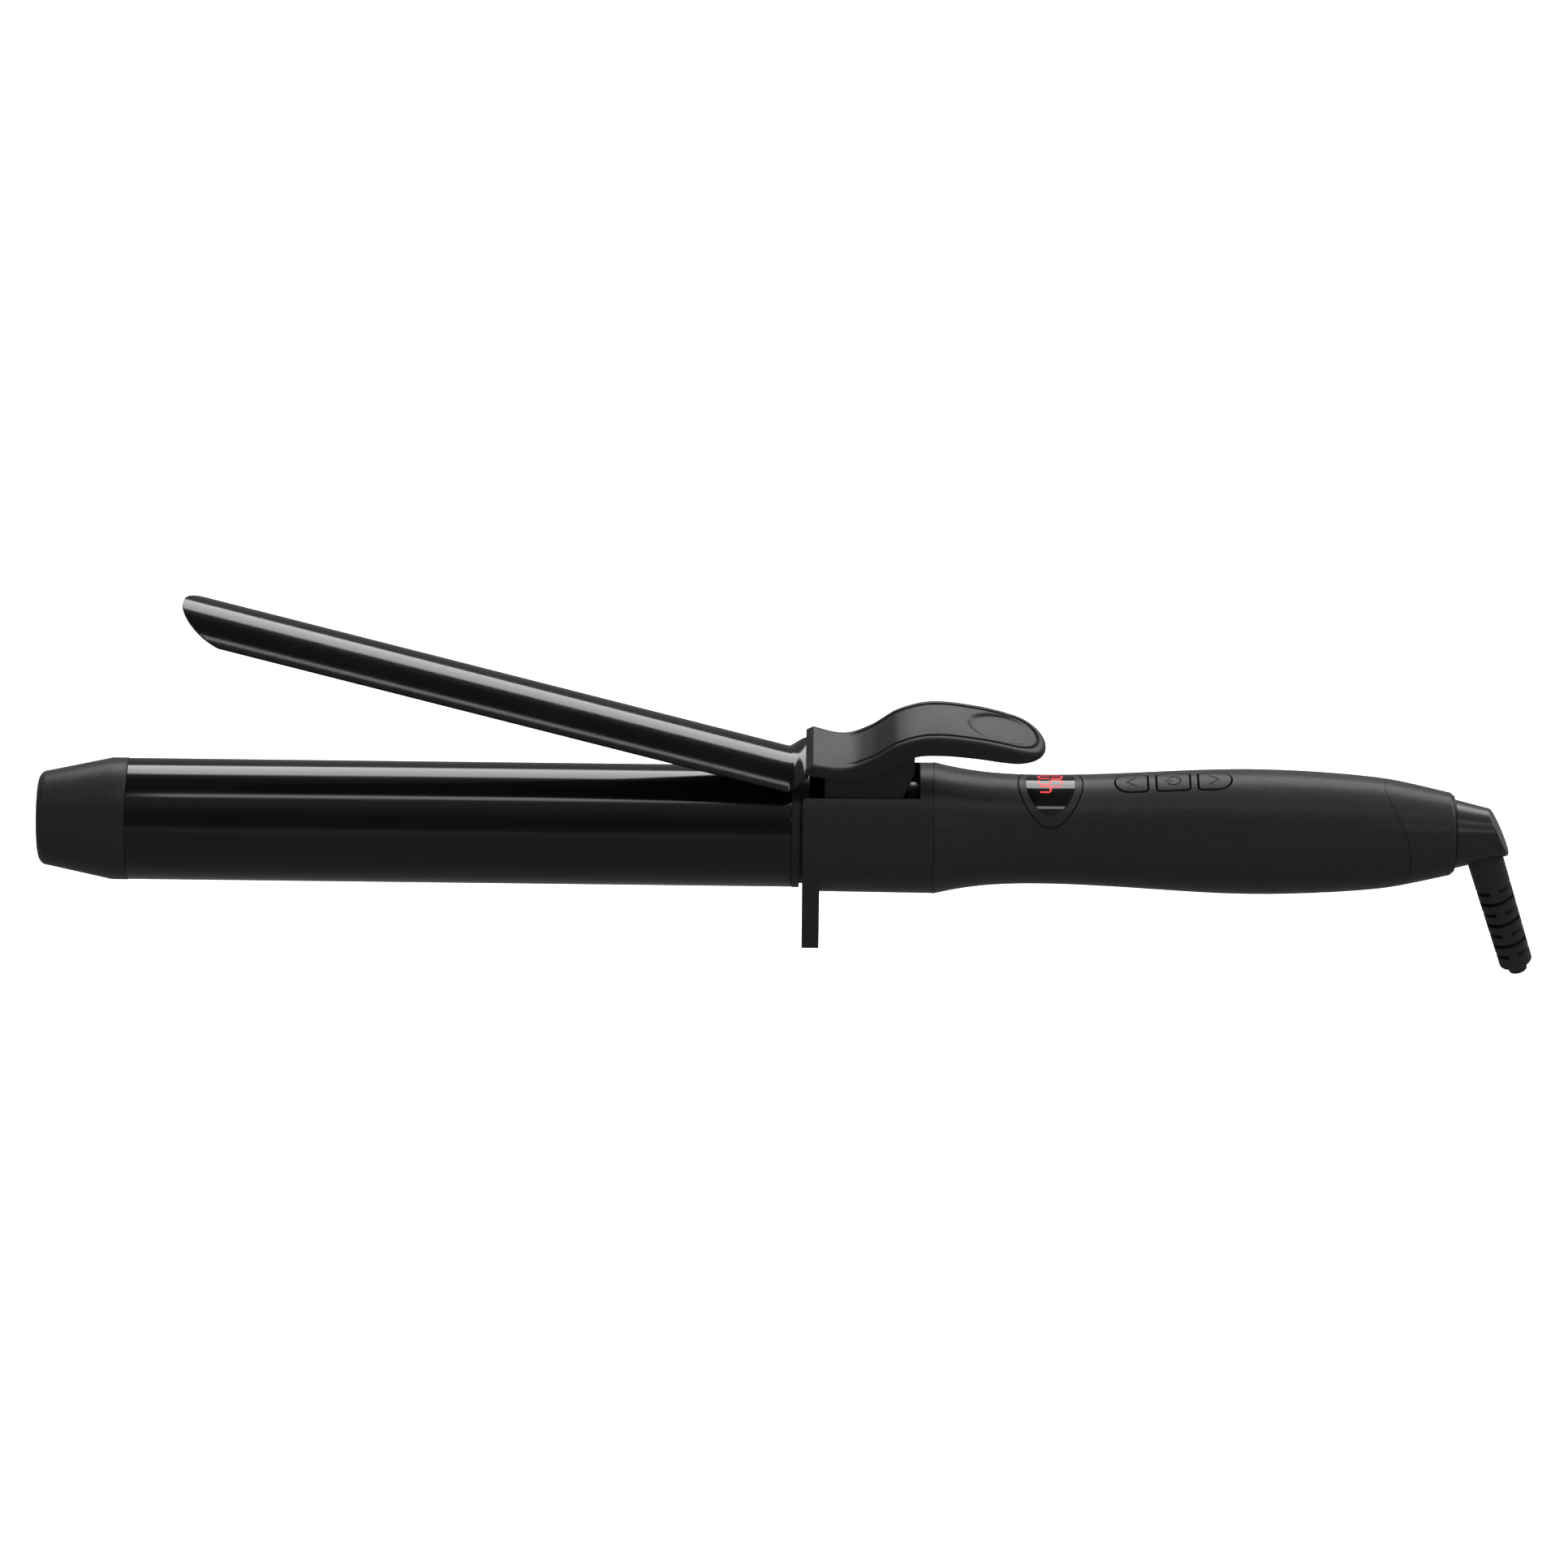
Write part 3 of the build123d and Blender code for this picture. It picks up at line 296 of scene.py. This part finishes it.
tip_radius = 16.1
band_start = barrel_tip - 4.3
taper_end = -199.0
taper_radius = 12.5
nose_end = -201.7
shoulder = 2.6
shoulder_turn = 78
shoulder_squash = 0.92
shoulder_steps = 8
dome_steps = 6
spigot_end = barrel_tip + 8
spigot_radius = 14.75
bore_radius = 12.6
nose_wall = 2
hollow_edge = (nose_end + 2.6, 9.0)
tip_edge = 0.25
nose_profile = [(spigot_end, bore_radius), (spigot_end, spigot_radius), (barrel_tip, spigot_radius)]
nose_profile += [(barrel_tip, tip_radius), (band_start, tip_radius), (taper_end, taper_radius)]
for step in range(1, shoulder_steps + 1):
    turn = radians(shoulder_turn * step / shoulder_steps)
    ahead = taper_end - shoulder * sin(turn) * shoulder_squash
    nose_profile.append((ahead, taper_radius - shoulder * (1 - cos(turn))))
rim_x, rim_radius = nose_profile[-1]
for step in range(1, dome_steps + 1):
    share = step / dome_steps
    ahead = rim_x + (nose_end - rim_x) * sin(share * pi / 2)
    nose_profile.append((ahead, rim_radius * (1 - share)))
nose_profile += [(nose_end + nose_wall, 0), hollow_edge, (band_start, bore_radius), nose_profile[0]]
tip = turned(nose_profile, tip_edge)
finished(tip, "cool_tip_cap", "root", "soft_touch", soft_coat, "cool_tip", smooth=24)

# Heater, held inside the barrel: ceramic stones between two brass electrodes in an insulating film,
# pressed by two extruded aluminium half rounds, with a mica disc, a thermistor and a thermal fuse.
# All are the CAD's own solids.


def dressed(material, *names):
    """Gives the material to the CAD's own solids."""
    for name in names:
        nodes[name].data.materials.clear()
        nodes[name].data.materials.append(material)


def grained(name, colour, roughness, scale, depth, metallic=0.0, stretch=(1, 1, 1), drift=0.25):
    """Finish with a grain of that scale and relief, whose colour drifts by a share."""
    material, tree, surface = new_finish(name, colour, roughness)
    surface.inputs["Metallic"].default_value = metallic
    field = noise_field(tree, scale, 4, stretch)
    dark = [tone * (1 - drift) for tone in colour]
    light = [min(1, tone * (1 + drift)) for tone in colour]
    tinted(tree, surface, spread(tree, field, 0, 1), dark, light)
    polish = spread(tree, field, roughness * 0.8, min(1, roughness * 1.25))
    tree.links.new(polish, surface.inputs["Roughness"])
    relief(tree, surface, field, depth * mm)
    return material


mica = grained("mica", (0.72, 0.66, 0.52), 0.45, 900, 0.03)
aluminium = grained("aluminium", (0.78, 0.78, 0.80), 0.34, 900, 0.008, metallic=1, stretch=(0.03, 1, 1))
ceramic = grained("ceramic", (0.42, 0.40, 0.37), 0.75, 1800, 0.03)
brass = grained("brass", (0.78, 0.57, 0.26), 0.28, 1600, 0.004, metallic=1, drift=0.1)
amber_film = grained("amber_film", (0.45, 0.20, 0.04), 0.2, 500, 0.01)
glazed_bead = grained("glass_bead", (0.45, 0.22, 0.08), 0.15, 700, 0.005)
steel = grained("steel", (0.60, 0.60, 0.62), 0.3, 1500, 0.005, metallic=1, drift=0.1)
white_sleeve = grained("lead_white", (0.70, 0.70, 0.66), 0.6, 1200, 0.01)
dressed(mica, "tip_insulator")
dressed(aluminium, "heat_spreader_top", "heat_spreader_bottom")
dressed(ceramic, "heater_stones")
dressed(brass, "electrode_upper", "electrode_lower")
dressed(amber_film, "insulating_film")
dressed(glazed_bead, "thermistor")
dressed(steel, "thermal_fuse")
dressed(white_sleeve, "heater_leads", "sensor_leads")

# Barrel holder: a moulded plug that centres the barrel in the collar, with a satin flange in front.
# The collar is a slotted tube with the stand plate in one moulding, soft-touch coated like the handle.
satin, tree, surface = new_finish("satin_plastic", (0.041, 0.041, 0.042), 0.34, 0.125)
fine = noise_field(tree, 3200, 3)
tree.links.new(spread(tree, fine, 0.29, 0.38), surface.inputs["Roughness"])
clouds = spread(tree, noise_field(tree, 700, 4), 0, 1)
tinted(tree, surface, clouds, (0.037, 0.037, 0.038), (0.045, 0.045, 0.046))
relief(tree, surface, fine, 0.012 * mm)
dressed(satin, "barrel_holder")
dressed(soft_coat, "collar_housing")

# Hinge: a folded steel yoke on two screws carries the pin and the torsion spring that shuts the clamp.
# A satin grey buffer stands at the slot's rear and stops the lever.
grey_moulding = grained("grey_plastic", (0.24, 0.24, 0.24), 0.4, 1500, 0.01, drift=0.1)
dressed(steel, "hinge_bracket", "bracket_screws", "hinge_pin", "clamp_spring", "clamp_screws")
dressed(grey_moulding, "lever_stop")

# Clamp blade: a coated aluminium sheet of 0.8 mm, rolled to lie on the barrel, with a rounded tip.
# At the root it flattens into a neck and a tongue, which two screws hold under the lever.
hinge = place(12.9, 0, 10.5)
open_angle = radians(16.2)
swing_open = Matrix.Translation(hinge) @ Matrix.Rotation(open_angle, 4, "Y") @ Matrix.Translation(-hinge)
sheet = 0.8
blade_edge = 0.27
blade_inner = 16.3
blade_middle = blade_inner + sheet / 2
blade_half = radians(39.8)
blade_tip = -170.1
blade_root = -5.7
tip_round = 14.5
tip_half_width = 10.95
neck_end = -1.7
tongue_end = 9.3
tongue_half = 5.6
neck_half = 9.4
neck_radius = 40
neck_top = 18.4 + sheet / 2
tip_rows = 28
blade_rows = 60
neck_rows = 12
across = 48


def lerp(a, b, share):
    """Value at that share of the way from a to b."""
    return a + (b - a) * share


def blade_point(x, side):
    """Point of the shut blade's middle surface; side runs from -1 to 1 across it."""
    if x <= blade_root:
        half = blade_half
        if x < blade_tip + tip_round:
            inward = (x - blade_tip - tip_round) / tip_round
            half = min(half, asin(tip_half_width * sqrt(max(0, 1 - inward * inward)) / blade_middle))
        turn = half * side
        return place(x, blade_middle * sin(turn), blade_middle * cos(turn))
    share = min(1, (x - blade_root) / (neck_end - blade_root))
    ease = share * share * (3 - 2 * share)
    wide = neck_half if x <= neck_end else tongue_half
    rolled = blade_half * side
    flat_turn = asin(wide * side / neck_radius)
    flat = (neck_radius * sin(flat_turn), neck_top - neck_radius * (1 - cos(flat_turn)))
    if x > neck_end:
        flat = (wide * side, neck_top)
    return place(
        x,
        lerp(blade_middle * sin(rolled), flat[0], ease),
        lerp(blade_middle * cos(rolled), flat[1], ease),
    )


rows = [blade_tip + tip_round * (1 - cos(pi / 2 * k / tip_rows)) for k in range(tip_rows)]
rows += [lerp(blade_tip + tip_round, blade_root, k / blade_rows) for k in range(blade_rows + 1)]
rows += [lerp(blade_root, neck_end, k / neck_rows) for k in range(1, neck_rows + 1)]
rows += [neck_end + 0.02, lerp(neck_end, tongue_end, 0.5), tongue_end]


def woven(name, lines, columns, spot):
    """Quad surface of lines by columns, laid by spot(line, column); a grid primitive moved into place."""
    bpy.ops.object.select_all(action="DESELECT")
    bpy.ops.mesh.primitive_grid_add(x_subdivisions=columns - 1, y_subdivisions=lines - 1, size=1)
    grid = bpy.context.object
    grid.name = name
    for index, vertex in enumerate(grid.data.vertices):
        vertex.co = spot(index // columns, index % columns)
    bpy.ops.object.mode_set(mode="EDIT")
    bpy.ops.mesh.select_all(action="SELECT")
    bpy.ops.mesh.remove_doubles(threshold=0.002 * mm)
    bpy.ops.mesh.normals_make_consistent(inside=False)
    bpy.ops.object.mode_set(mode="OBJECT")
    return grid


blade = woven(
    "blade",
    len(rows),
    across + 1,
    lambda line, column: swing_open @ blade_point(rows[line], 2 * column / across - 1),
)
modifier(blade, "SOLIDIFY", thickness=sheet * mm, offset=0)
softened(blade, blade_edge, 50)
finished(blade, "blade_sheet", "clamp", "coated_metal", coating, "clamp_blade", smooth=40)

# Thumb lever: a satin moulding. A square front block grips the blade's tongue, the paddle rises over the
# handle with a groove inside its rounded rim and a shallow thumb dish, and two cheeks ride on the pin.
lever_front = 0.6
lever_tip = 63.3
round_middle = 53.47
top_line = [(-3, 27.2), (0.6, 26.4), (10.5, 24.5), (17.6, 27.2), (24.5, 32.0)]
top_line += [(33, 34.5), (45, 33.4), (56, 30.5), (63.3, 27.3), (66, 25.9)]
under_line = [(-3, 21.4), (1.3, 22.2), (12, 20.4), (20, 22.9), (28, 27.9)]
under_line += [(35, 28.8), (45, 27.9), (54, 26.3), (63.3, 25.4), (66, 24.8)]
side_line = [(-3, 10.3), (0.6, 10), (11, 9.1), (26, 9.5), (50, 9.2), (60, 8.2), (66, 7)]


def follow(line, x):
    """Height of a smooth curve through (distance, height) points."""
    knot = next((k for k in range(1, len(line) - 2) if line[k + 1][0] >= x), len(line) - 3)
    (x0, z0), (x1, z1), (x2, z2), (x3, z3) = line[knot - 1 : knot + 3]
    share = (x - x1) / (x2 - x1)
    leave = (z2 - z0) / (x2 - x0) * (x2 - x1)
    reach = (z3 - z1) / (x3 - x1) * (x2 - x1)
    square, cube = share * share, share**3
    return (
        (2 * cube - 3 * square + 1) * z1
        + (cube - 2 * square + share) * leave
        + (3 * square - 2 * cube) * z2
        + (cube - square) * reach
    )


# outline of one side in plan, from the front face to the tip, with the spine point it faces
front_bevel = 1.9
bevel_steps = 5
side_length = 50.9
side_steps = 90
end_steps = 40
front_run = [lever_front + front_bevel * k / bevel_steps for k in range(bevel_steps + 1)]
front_run += [lever_front + front_bevel + k / side_steps * side_length for k in range(1, side_steps + 1)]
outline = [((x, -follow(side_line, x)), (x, 0)) for x in front_run if x < round_middle - 0.3]
end_radius = lever_tip - round_middle
for k in range(end_steps + 1):
    turn = pi / 2 * k / end_steps
    reach = lerp(follow(side_line, round_middle), end_radius, sin(turn) ** 2)
    outline.append(((round_middle + end_radius * sin(turn), -reach * cos(turn)), (round_middle, 0)))
outline += [((x, -y), spine) for (x, y), spine in reversed(outline[:-1])]

groove_inset = 2.15
groove_depth = 0.7
groove_half = 0.48
rim_round = 1.0
under_round = 1.2
groove_start = 11.5
groove_fade = 6
front_rim = 0.5
under_slant = 0.3
least_thickness = 1.2
crown = 0.35
crown_half = 9.5
dish_depth = 0.6
dish_middle = 51.6
dish_reach = 8.9
dish_half = 6.3
dish_edge = 0.2
dish_end = 61
dish_run_out = 13
bevel_in = 0.05
bevel_down = 0.92
bevel_up = 0.15
top_insets = [0, 0.03, 0.1, 0.22, 0.4, 0.65, rim_round, 1.3, groove_inset - groove_half]
top_insets += [groove_inset - 0.28, groove_inset - 0.14, groove_inset]
top_insets += [groove_inset + 0.14, groove_inset + 0.28, groove_inset + groove_half, groove_inset + 0.6]
inner_steps = 22
under_steps = 7
flat_steps = 3
under_count = flat_steps + under_steps


def lever_point(rib, spot):
    """Point of the paddle's skin: spot runs from the spine underneath, round the rim, to it on top."""
    (x, y), (spine_x, spine_y) = outline[rib]
    reach = hypot(x - spine_x, y - spine_y)

    def inward(inset):
        share = 1 - min(1, inset / reach)
        return spine_x + (x - spine_x) * share, spine_y + (y - spine_y) * share

    if spot < under_count:
        if spot < flat_steps:
            inset = lerp(reach, under_round, spot / flat_steps)
            drop = 0
        else:
            turn = pi / 2 * (spot - flat_steps) / (under_steps - 1)
            inset = under_round * (1 - sin(turn))
            drop = under_round * (1 - cos(turn))
        px, py = inward(inset)
        low = follow(under_line, px) + drop * under_slant
        z = min(low, follow(top_line, px) - least_thickness)
    else:
        k = spot - under_count
        if k < len(top_insets):
            inset = top_insets[k]
        else:
            share = (k - len(top_insets) + 1) / inner_steps
            inset = lerp(top_insets[-1], reach, share)
        px, py = inward(inset)
        z = follow(top_line, px)
        fade = min(1, max(0, (px - groove_start) / groove_fade))
        if inset < rim_round:
            z -= lerp(front_rim, rim_round, fade) * (1 - sqrt(1 - (1 - inset / rim_round) ** 2))
        off = abs(inset - groove_inset) / groove_half
        if off < 1:
            z -= groove_depth * fade * 0.5 * (1 + cos(pi * off))
        z -= crown * (py / crown_half) ** 2
        if inset > groove_inset + groove_half:
            dish = ((px - dish_middle) / dish_reach) ** 2 + (py / dish_half) ** 2
            if dish < 1:
                z -= dish_depth * min(1, (1 - dish) / dish_edge) * min(1, (dish_end - px) / dish_run_out)
    # the front block's face is drawn in by a bevel all round
    bevel = max(0, 1 - (px - lever_front) / front_bevel)
    middle = (follow(top_line, px) + follow(under_line, px)) / 2
    py *= 1 - bevel_in * bevel
    z = lerp(z, middle, (bevel_down if z > middle else bevel_up) * bevel)
    return place(px, py, z)


spots = under_count + len(top_insets) + inner_steps
paddle = woven("paddle", len(outline), spots, lever_point)
bpy.ops.object.mode_set(mode="EDIT")
bpy.ops.mesh.select_all(action="DESELECT")
bpy.ops.mesh.select_non_manifold()
bpy.ops.mesh.edge_face_add()
bpy.ops.mesh.select_all(action="SELECT")
bpy.ops.mesh.normals_make_consistent(inside=False)
bpy.ops.object.mode_set(mode="OBJECT")

web_half = 8.2
web_edge = 0.35
pocket_half = 6.0
pin_bore = 1.55
web_side = [(5.5, 22), (5.6, 13.6), (9.7, 7.8), (13.5, 6.35), (24.6, 9.6), (26.2, 14.9), (29.0, 22.5)]
web_side += [(29.0, 28.6), (24, 26.4), (20, 24.2), (16, 22.6), (12, 21.4), (8, 22)]
pocket_side = [(7.4, 19.0), (7.4, 3), (24, 3), (24, 20.5), (19.5, 20.5), (12, 19.0)]


def slab(side, half, rounding):
    """Block with that side view, half as wide each way, its edges rounded."""
    block = profile_wire(place(side[0][0], -half, side[0][1]))
    for near, far in zip(side, side[1:]):
        step = ((far[0] - near[0]) * mm, 0, (far[1] - near[1]) * mm)
        bpy.ops.mesh.extrude_region_move(TRANSFORM_OT_translate={"value": step})
    bpy.ops.mesh.select_all(action="SELECT")
    bpy.ops.mesh.edge_face_add()
    bpy.ops.mesh.extrude_region_move(TRANSFORM_OT_translate={"value": (0, 2 * half * mm, 0)})
    bpy.ops.mesh.select_all(action="SELECT")
    bpy.ops.mesh.normals_make_consistent(inside=False)
    bpy.ops.object.mode_set(mode="OBJECT")
    if rounding:
        softened(block, rounding, 50)
    return block


web = slab(web_side, web_half, web_edge)
pocket = slab(pocket_side, pocket_half, 0)
bpy.ops.object.select_all(action="DESELECT")
bpy.ops.mesh.primitive_cylinder_add(
    vertices=48, radius=pin_bore * mm, depth=30 * mm, location=hinge, rotation=(pi / 2, 0, 0)
)
bore = bpy.context.object
bpy.ops.object.transform_apply(location=True, rotation=True)
for cutter in (pocket, bore):
    modifier(web, "BOOLEAN", operation="DIFFERENCE", object=cutter, solver="EXACT")
    bpy.data.objects.remove(cutter)
bpy.ops.object.select_all(action="DESELECT")
web.select_set(True)
paddle.select_set(True)
bpy.context.view_layer.objects.active = paddle
bpy.ops.object.join()
finished(paddle, "lever_moulding", "clamp", "satin_plastic", satin, "thumb_lever", smooth=24)

# Handle: a soft-touch sleeve with openings for the display and keys, and an end cap behind a bowed seam.
# The chassis inside carries the control board with its display module, switches and power parts.
dressed(soft_coat, "handle_sleeve", "end_cap", "display_bezel")
inner_moulding = grained("inner_plastic", (0.05, 0.05, 0.055), 0.5, 1300, 0.02)
board_mask = grained("board_green", (0.02, 0.16, 0.05), 0.3, 500, 0.02)
module_case = grained("module_white", (0.62, 0.62, 0.60), 0.4, 900, 0.01)
switch_case = grained("switch_grey", (0.18, 0.18, 0.18), 0.45, 1300, 0.02)
capacitor_case = grained("capacitor_yellow", (0.70, 0.50, 0.06), 0.3, 900, 0.01)
blue_sleeve = grained("lead_blue", (0.05, 0.14, 0.42), 0.55, 1200, 0.01)
dressed(inner_moulding, "chassis", "controller_chip", "triac", "swivel_bushing", "contact_block")
dressed(board_mask, "circuit_board")
dressed(steel, "board_screws", "retaining_clip")
dressed(module_case, "display_module")
dressed(switch_case, "tact_switches")
dressed(capacitor_case, "power_capacitor")
dressed(blue_sleeve, "supply_leads")
dressed(brass, "slip_rings", "contact_springs")

# Display: a glossy smoked window set in the bezel, with three lit red seven-segment figures.
# The figures lie on the window's outer face, a hundredth of a millimetre above it, and follow its curve.
smoked, tree, surface = new_finish("smoked_window", (0.01, 0.01, 0.011), 0.035)
wipes = noise_field(tree, 300, 3)
tree.links.new(spread(tree, wipes, 0.025, 0.06), surface.inputs["Roughness"])
dressed(smoked, "display_lens")
lit_red, tree, surface = new_finish("lit_figures", (0.25, 0.0, 0.0), 0.4)
glow = noise_field(tree, 900, 2)
warm = tree.nodes.new("ShaderNodeMix")
warm.data_type = "RGBA"
warm.inputs["A"].default_value = (1.0, 0.012, 0.02, 1)
warm.inputs["B"].default_value = (1.0, 0.03, 0.035, 1)
tree.links.new(spread(tree, glow, 0, 1), warm.inputs["Factor"])
tree.links.new(warm.outputs["Result"], surface.inputs["Emission Color"])
surface.inputs["Emission Strength"].default_value = 1.1


def stroke_plates(strokes, width):
    """Flat bars of that width along each (start, end) stroke in plan, as one object above the handle."""
    bars = []
    for (x0, y0), (x1, y1) in strokes:
        length = hypot(x1 - x0, y1 - y0)
        cells = max(2, ceil(length / 0.3))
        bpy.ops.object.select_all(action="DESELECT")
        bpy.ops.mesh.primitive_grid_add(x_subdivisions=cells, y_subdivisions=2, size=1)
        bar = bpy.context.object
        bar.scale = ((length + width * 0.9) * mm, width * mm, 1)
        bar.rotation_euler = (0, 0, atan2(y1 - y0, x1 - x0))
        bar.location = place((x0 + x1) / 2, (y0 + y1) / 2, 20)
        bpy.ops.object.transform_apply()
        bars.append(bar)
    bpy.ops.object.select_all(action="DESELECT")
    for bar in bars:
        bar.select_set(True)
    bpy.context.view_layer.objects.active = bars[0]
    bpy.ops.object.join()
    return bpy.context.object


def laid_on(plates, target, gap, thickness):
    """Presses flat plates down onto a CAD solid, gap above it, and thickens them."""
    modifier(
        plates,
        "SHRINKWRAP",
        target=nodes[target],
        wrap_method="PROJECT",
        use_project_x=False,
        use_project_y=False,
        use_project_z=True,
        use_negative_direction=True,
        use_positive_direction=False,
        offset=gap * mm,
    )
    modifier(plates, "SOLIDIFY", thickness=thickness * mm, offset=1)


figure_height = 6.0
figure_width = 2.2
figure_pitch = 3.1
figure_top = 61.9
figure_start = -3.35
figure_stroke = 0.5
figure_trim = 0.42
segments = {
    "top": ((0, 0), (1, 0)),
    "middle": ((0, 0.5), (1, 0.5)),
    "foot": ((0, 1), (1, 1)),
    "upper_left": ((0, 0), (0, 0.5)),
    "upper_right": ((1, 0), (1, 0.5)),
    "lower_left": ((0, 0.5), (0, 1)),
    "lower_right": ((1, 0.5), (1, 1)),
}
shown_figures = (
    ("upper_left", "upper_right", "middle", "lower_right"),
    ("top", "upper_left", "middle", "lower_right", "foot"),
    ("top", "upper_left", "upper_right", "lower_left", "lower_right", "foot"),
)
strokes = []
for count, lit in enumerate(shown_figures):
    left = figure_start + count * figure_pitch
    for name in lit:
        ends = []
        for along, down in segments[name]:
            ends.append(Vector((figure_top + figure_height * down, left + figure_width * along)))
        trim = (ends[1] - ends[0]).normalized() * figure_trim
        strokes.append((tuple(ends[0] + trim), tuple(ends[1] - trim)))
figures = stroke_plates(strokes, figure_stroke)
laid_on(figures, "display_lens", 0.01, 0.02)
finished(figures, "display_figures", "root", "smoked_window", lit_red)

# Keys: temperature up, power and temperature down, moulded and coated like the handle.
# Their marks are printed in grey: two chevrons and the usual ring with a bar for power.
dressed(soft_coat, "temp_up_button", "power_button", "temp_down_button")
mark_ink = grained("key_print", (0.02, 0.02, 0.02), 0.6, 2000, 0.003)
mark_ink.node_tree.nodes["Principled BSDF"].inputs["Specular IOR Level"].default_value = 0.04
up_strokes = [((87.5, -2.0), (84.9, 0)), ((84.9, 0), (87.5, 2.0))]
down_strokes = [((106.5, -2.0), (109.1, 0)), ((109.1, 0), (106.5, 2.0))]
ring_middle = 97.2
ring_radius = 1.8
ring_gap = radians(38)
mark_stroke = 0.34
ring_turns = [lerp(-pi + ring_gap, pi - ring_gap, k / 16) for k in range(17)]
ring = [(ring_middle + ring_radius * cos(turn), ring_radius * sin(turn)) for turn in ring_turns]
power_strokes = list(zip(ring, ring[1:])) + [((ring_middle - 2.3, 0), (ring_middle - 0.3, 0))]
for name, body, marks in (
    ("temp_up_button", "temp_up", up_strokes),
    ("power_button", "power", power_strokes),
    ("temp_down_button", "temp_down", down_strokes),
):
    print_marks = stroke_plates(marks, mark_stroke)
    laid_on(print_marks, name, 0.008, 0.015)
    finished(print_marks, body + "_mark", body, "soft_touch", mark_ink)

# Swivel: a smooth elbow that turns in the end cap, cut slantwise behind, and a rubber boot for the cord.
# The boot is slotted in rings, each a quarter turn on from the last, so that it bends evenly.
smooth_moulding, tree, surface = new_finish("smooth_moulding", (0.040, 0.040, 0.041), 0.24, 0.3)
skin = noise_field(tree, 2400, 3)
tree.links.new(spread(tree, skin, 0.21, 0.28), surface.inputs["Roughness"])
tinted(tree, surface, spread(tree, skin, 0, 1), (0.037, 0.037, 0.038), (0.044, 0.044, 0.045))
relief(tree, surface, skin, 0.006 * mm)
dressed(smooth_moulding, "swivel_elbow")
rubber, tree, surface = new_finish("rubber", (0.045, 0.045, 0.045), 0.5, 0.2)
skin = noise_field(tree, 2200, 4)
tree.links.new(spread(tree, skin, 0.42, 0.58), surface.inputs["Roughness"])
tinted(tree, surface, spread(tree, skin, 0, 1), (0.040, 0.040, 0.040), (0.052, 0.052, 0.052))
relief(tree, surface, skin, 0.02 * mm)
dressed(rubber, "cord_boot")
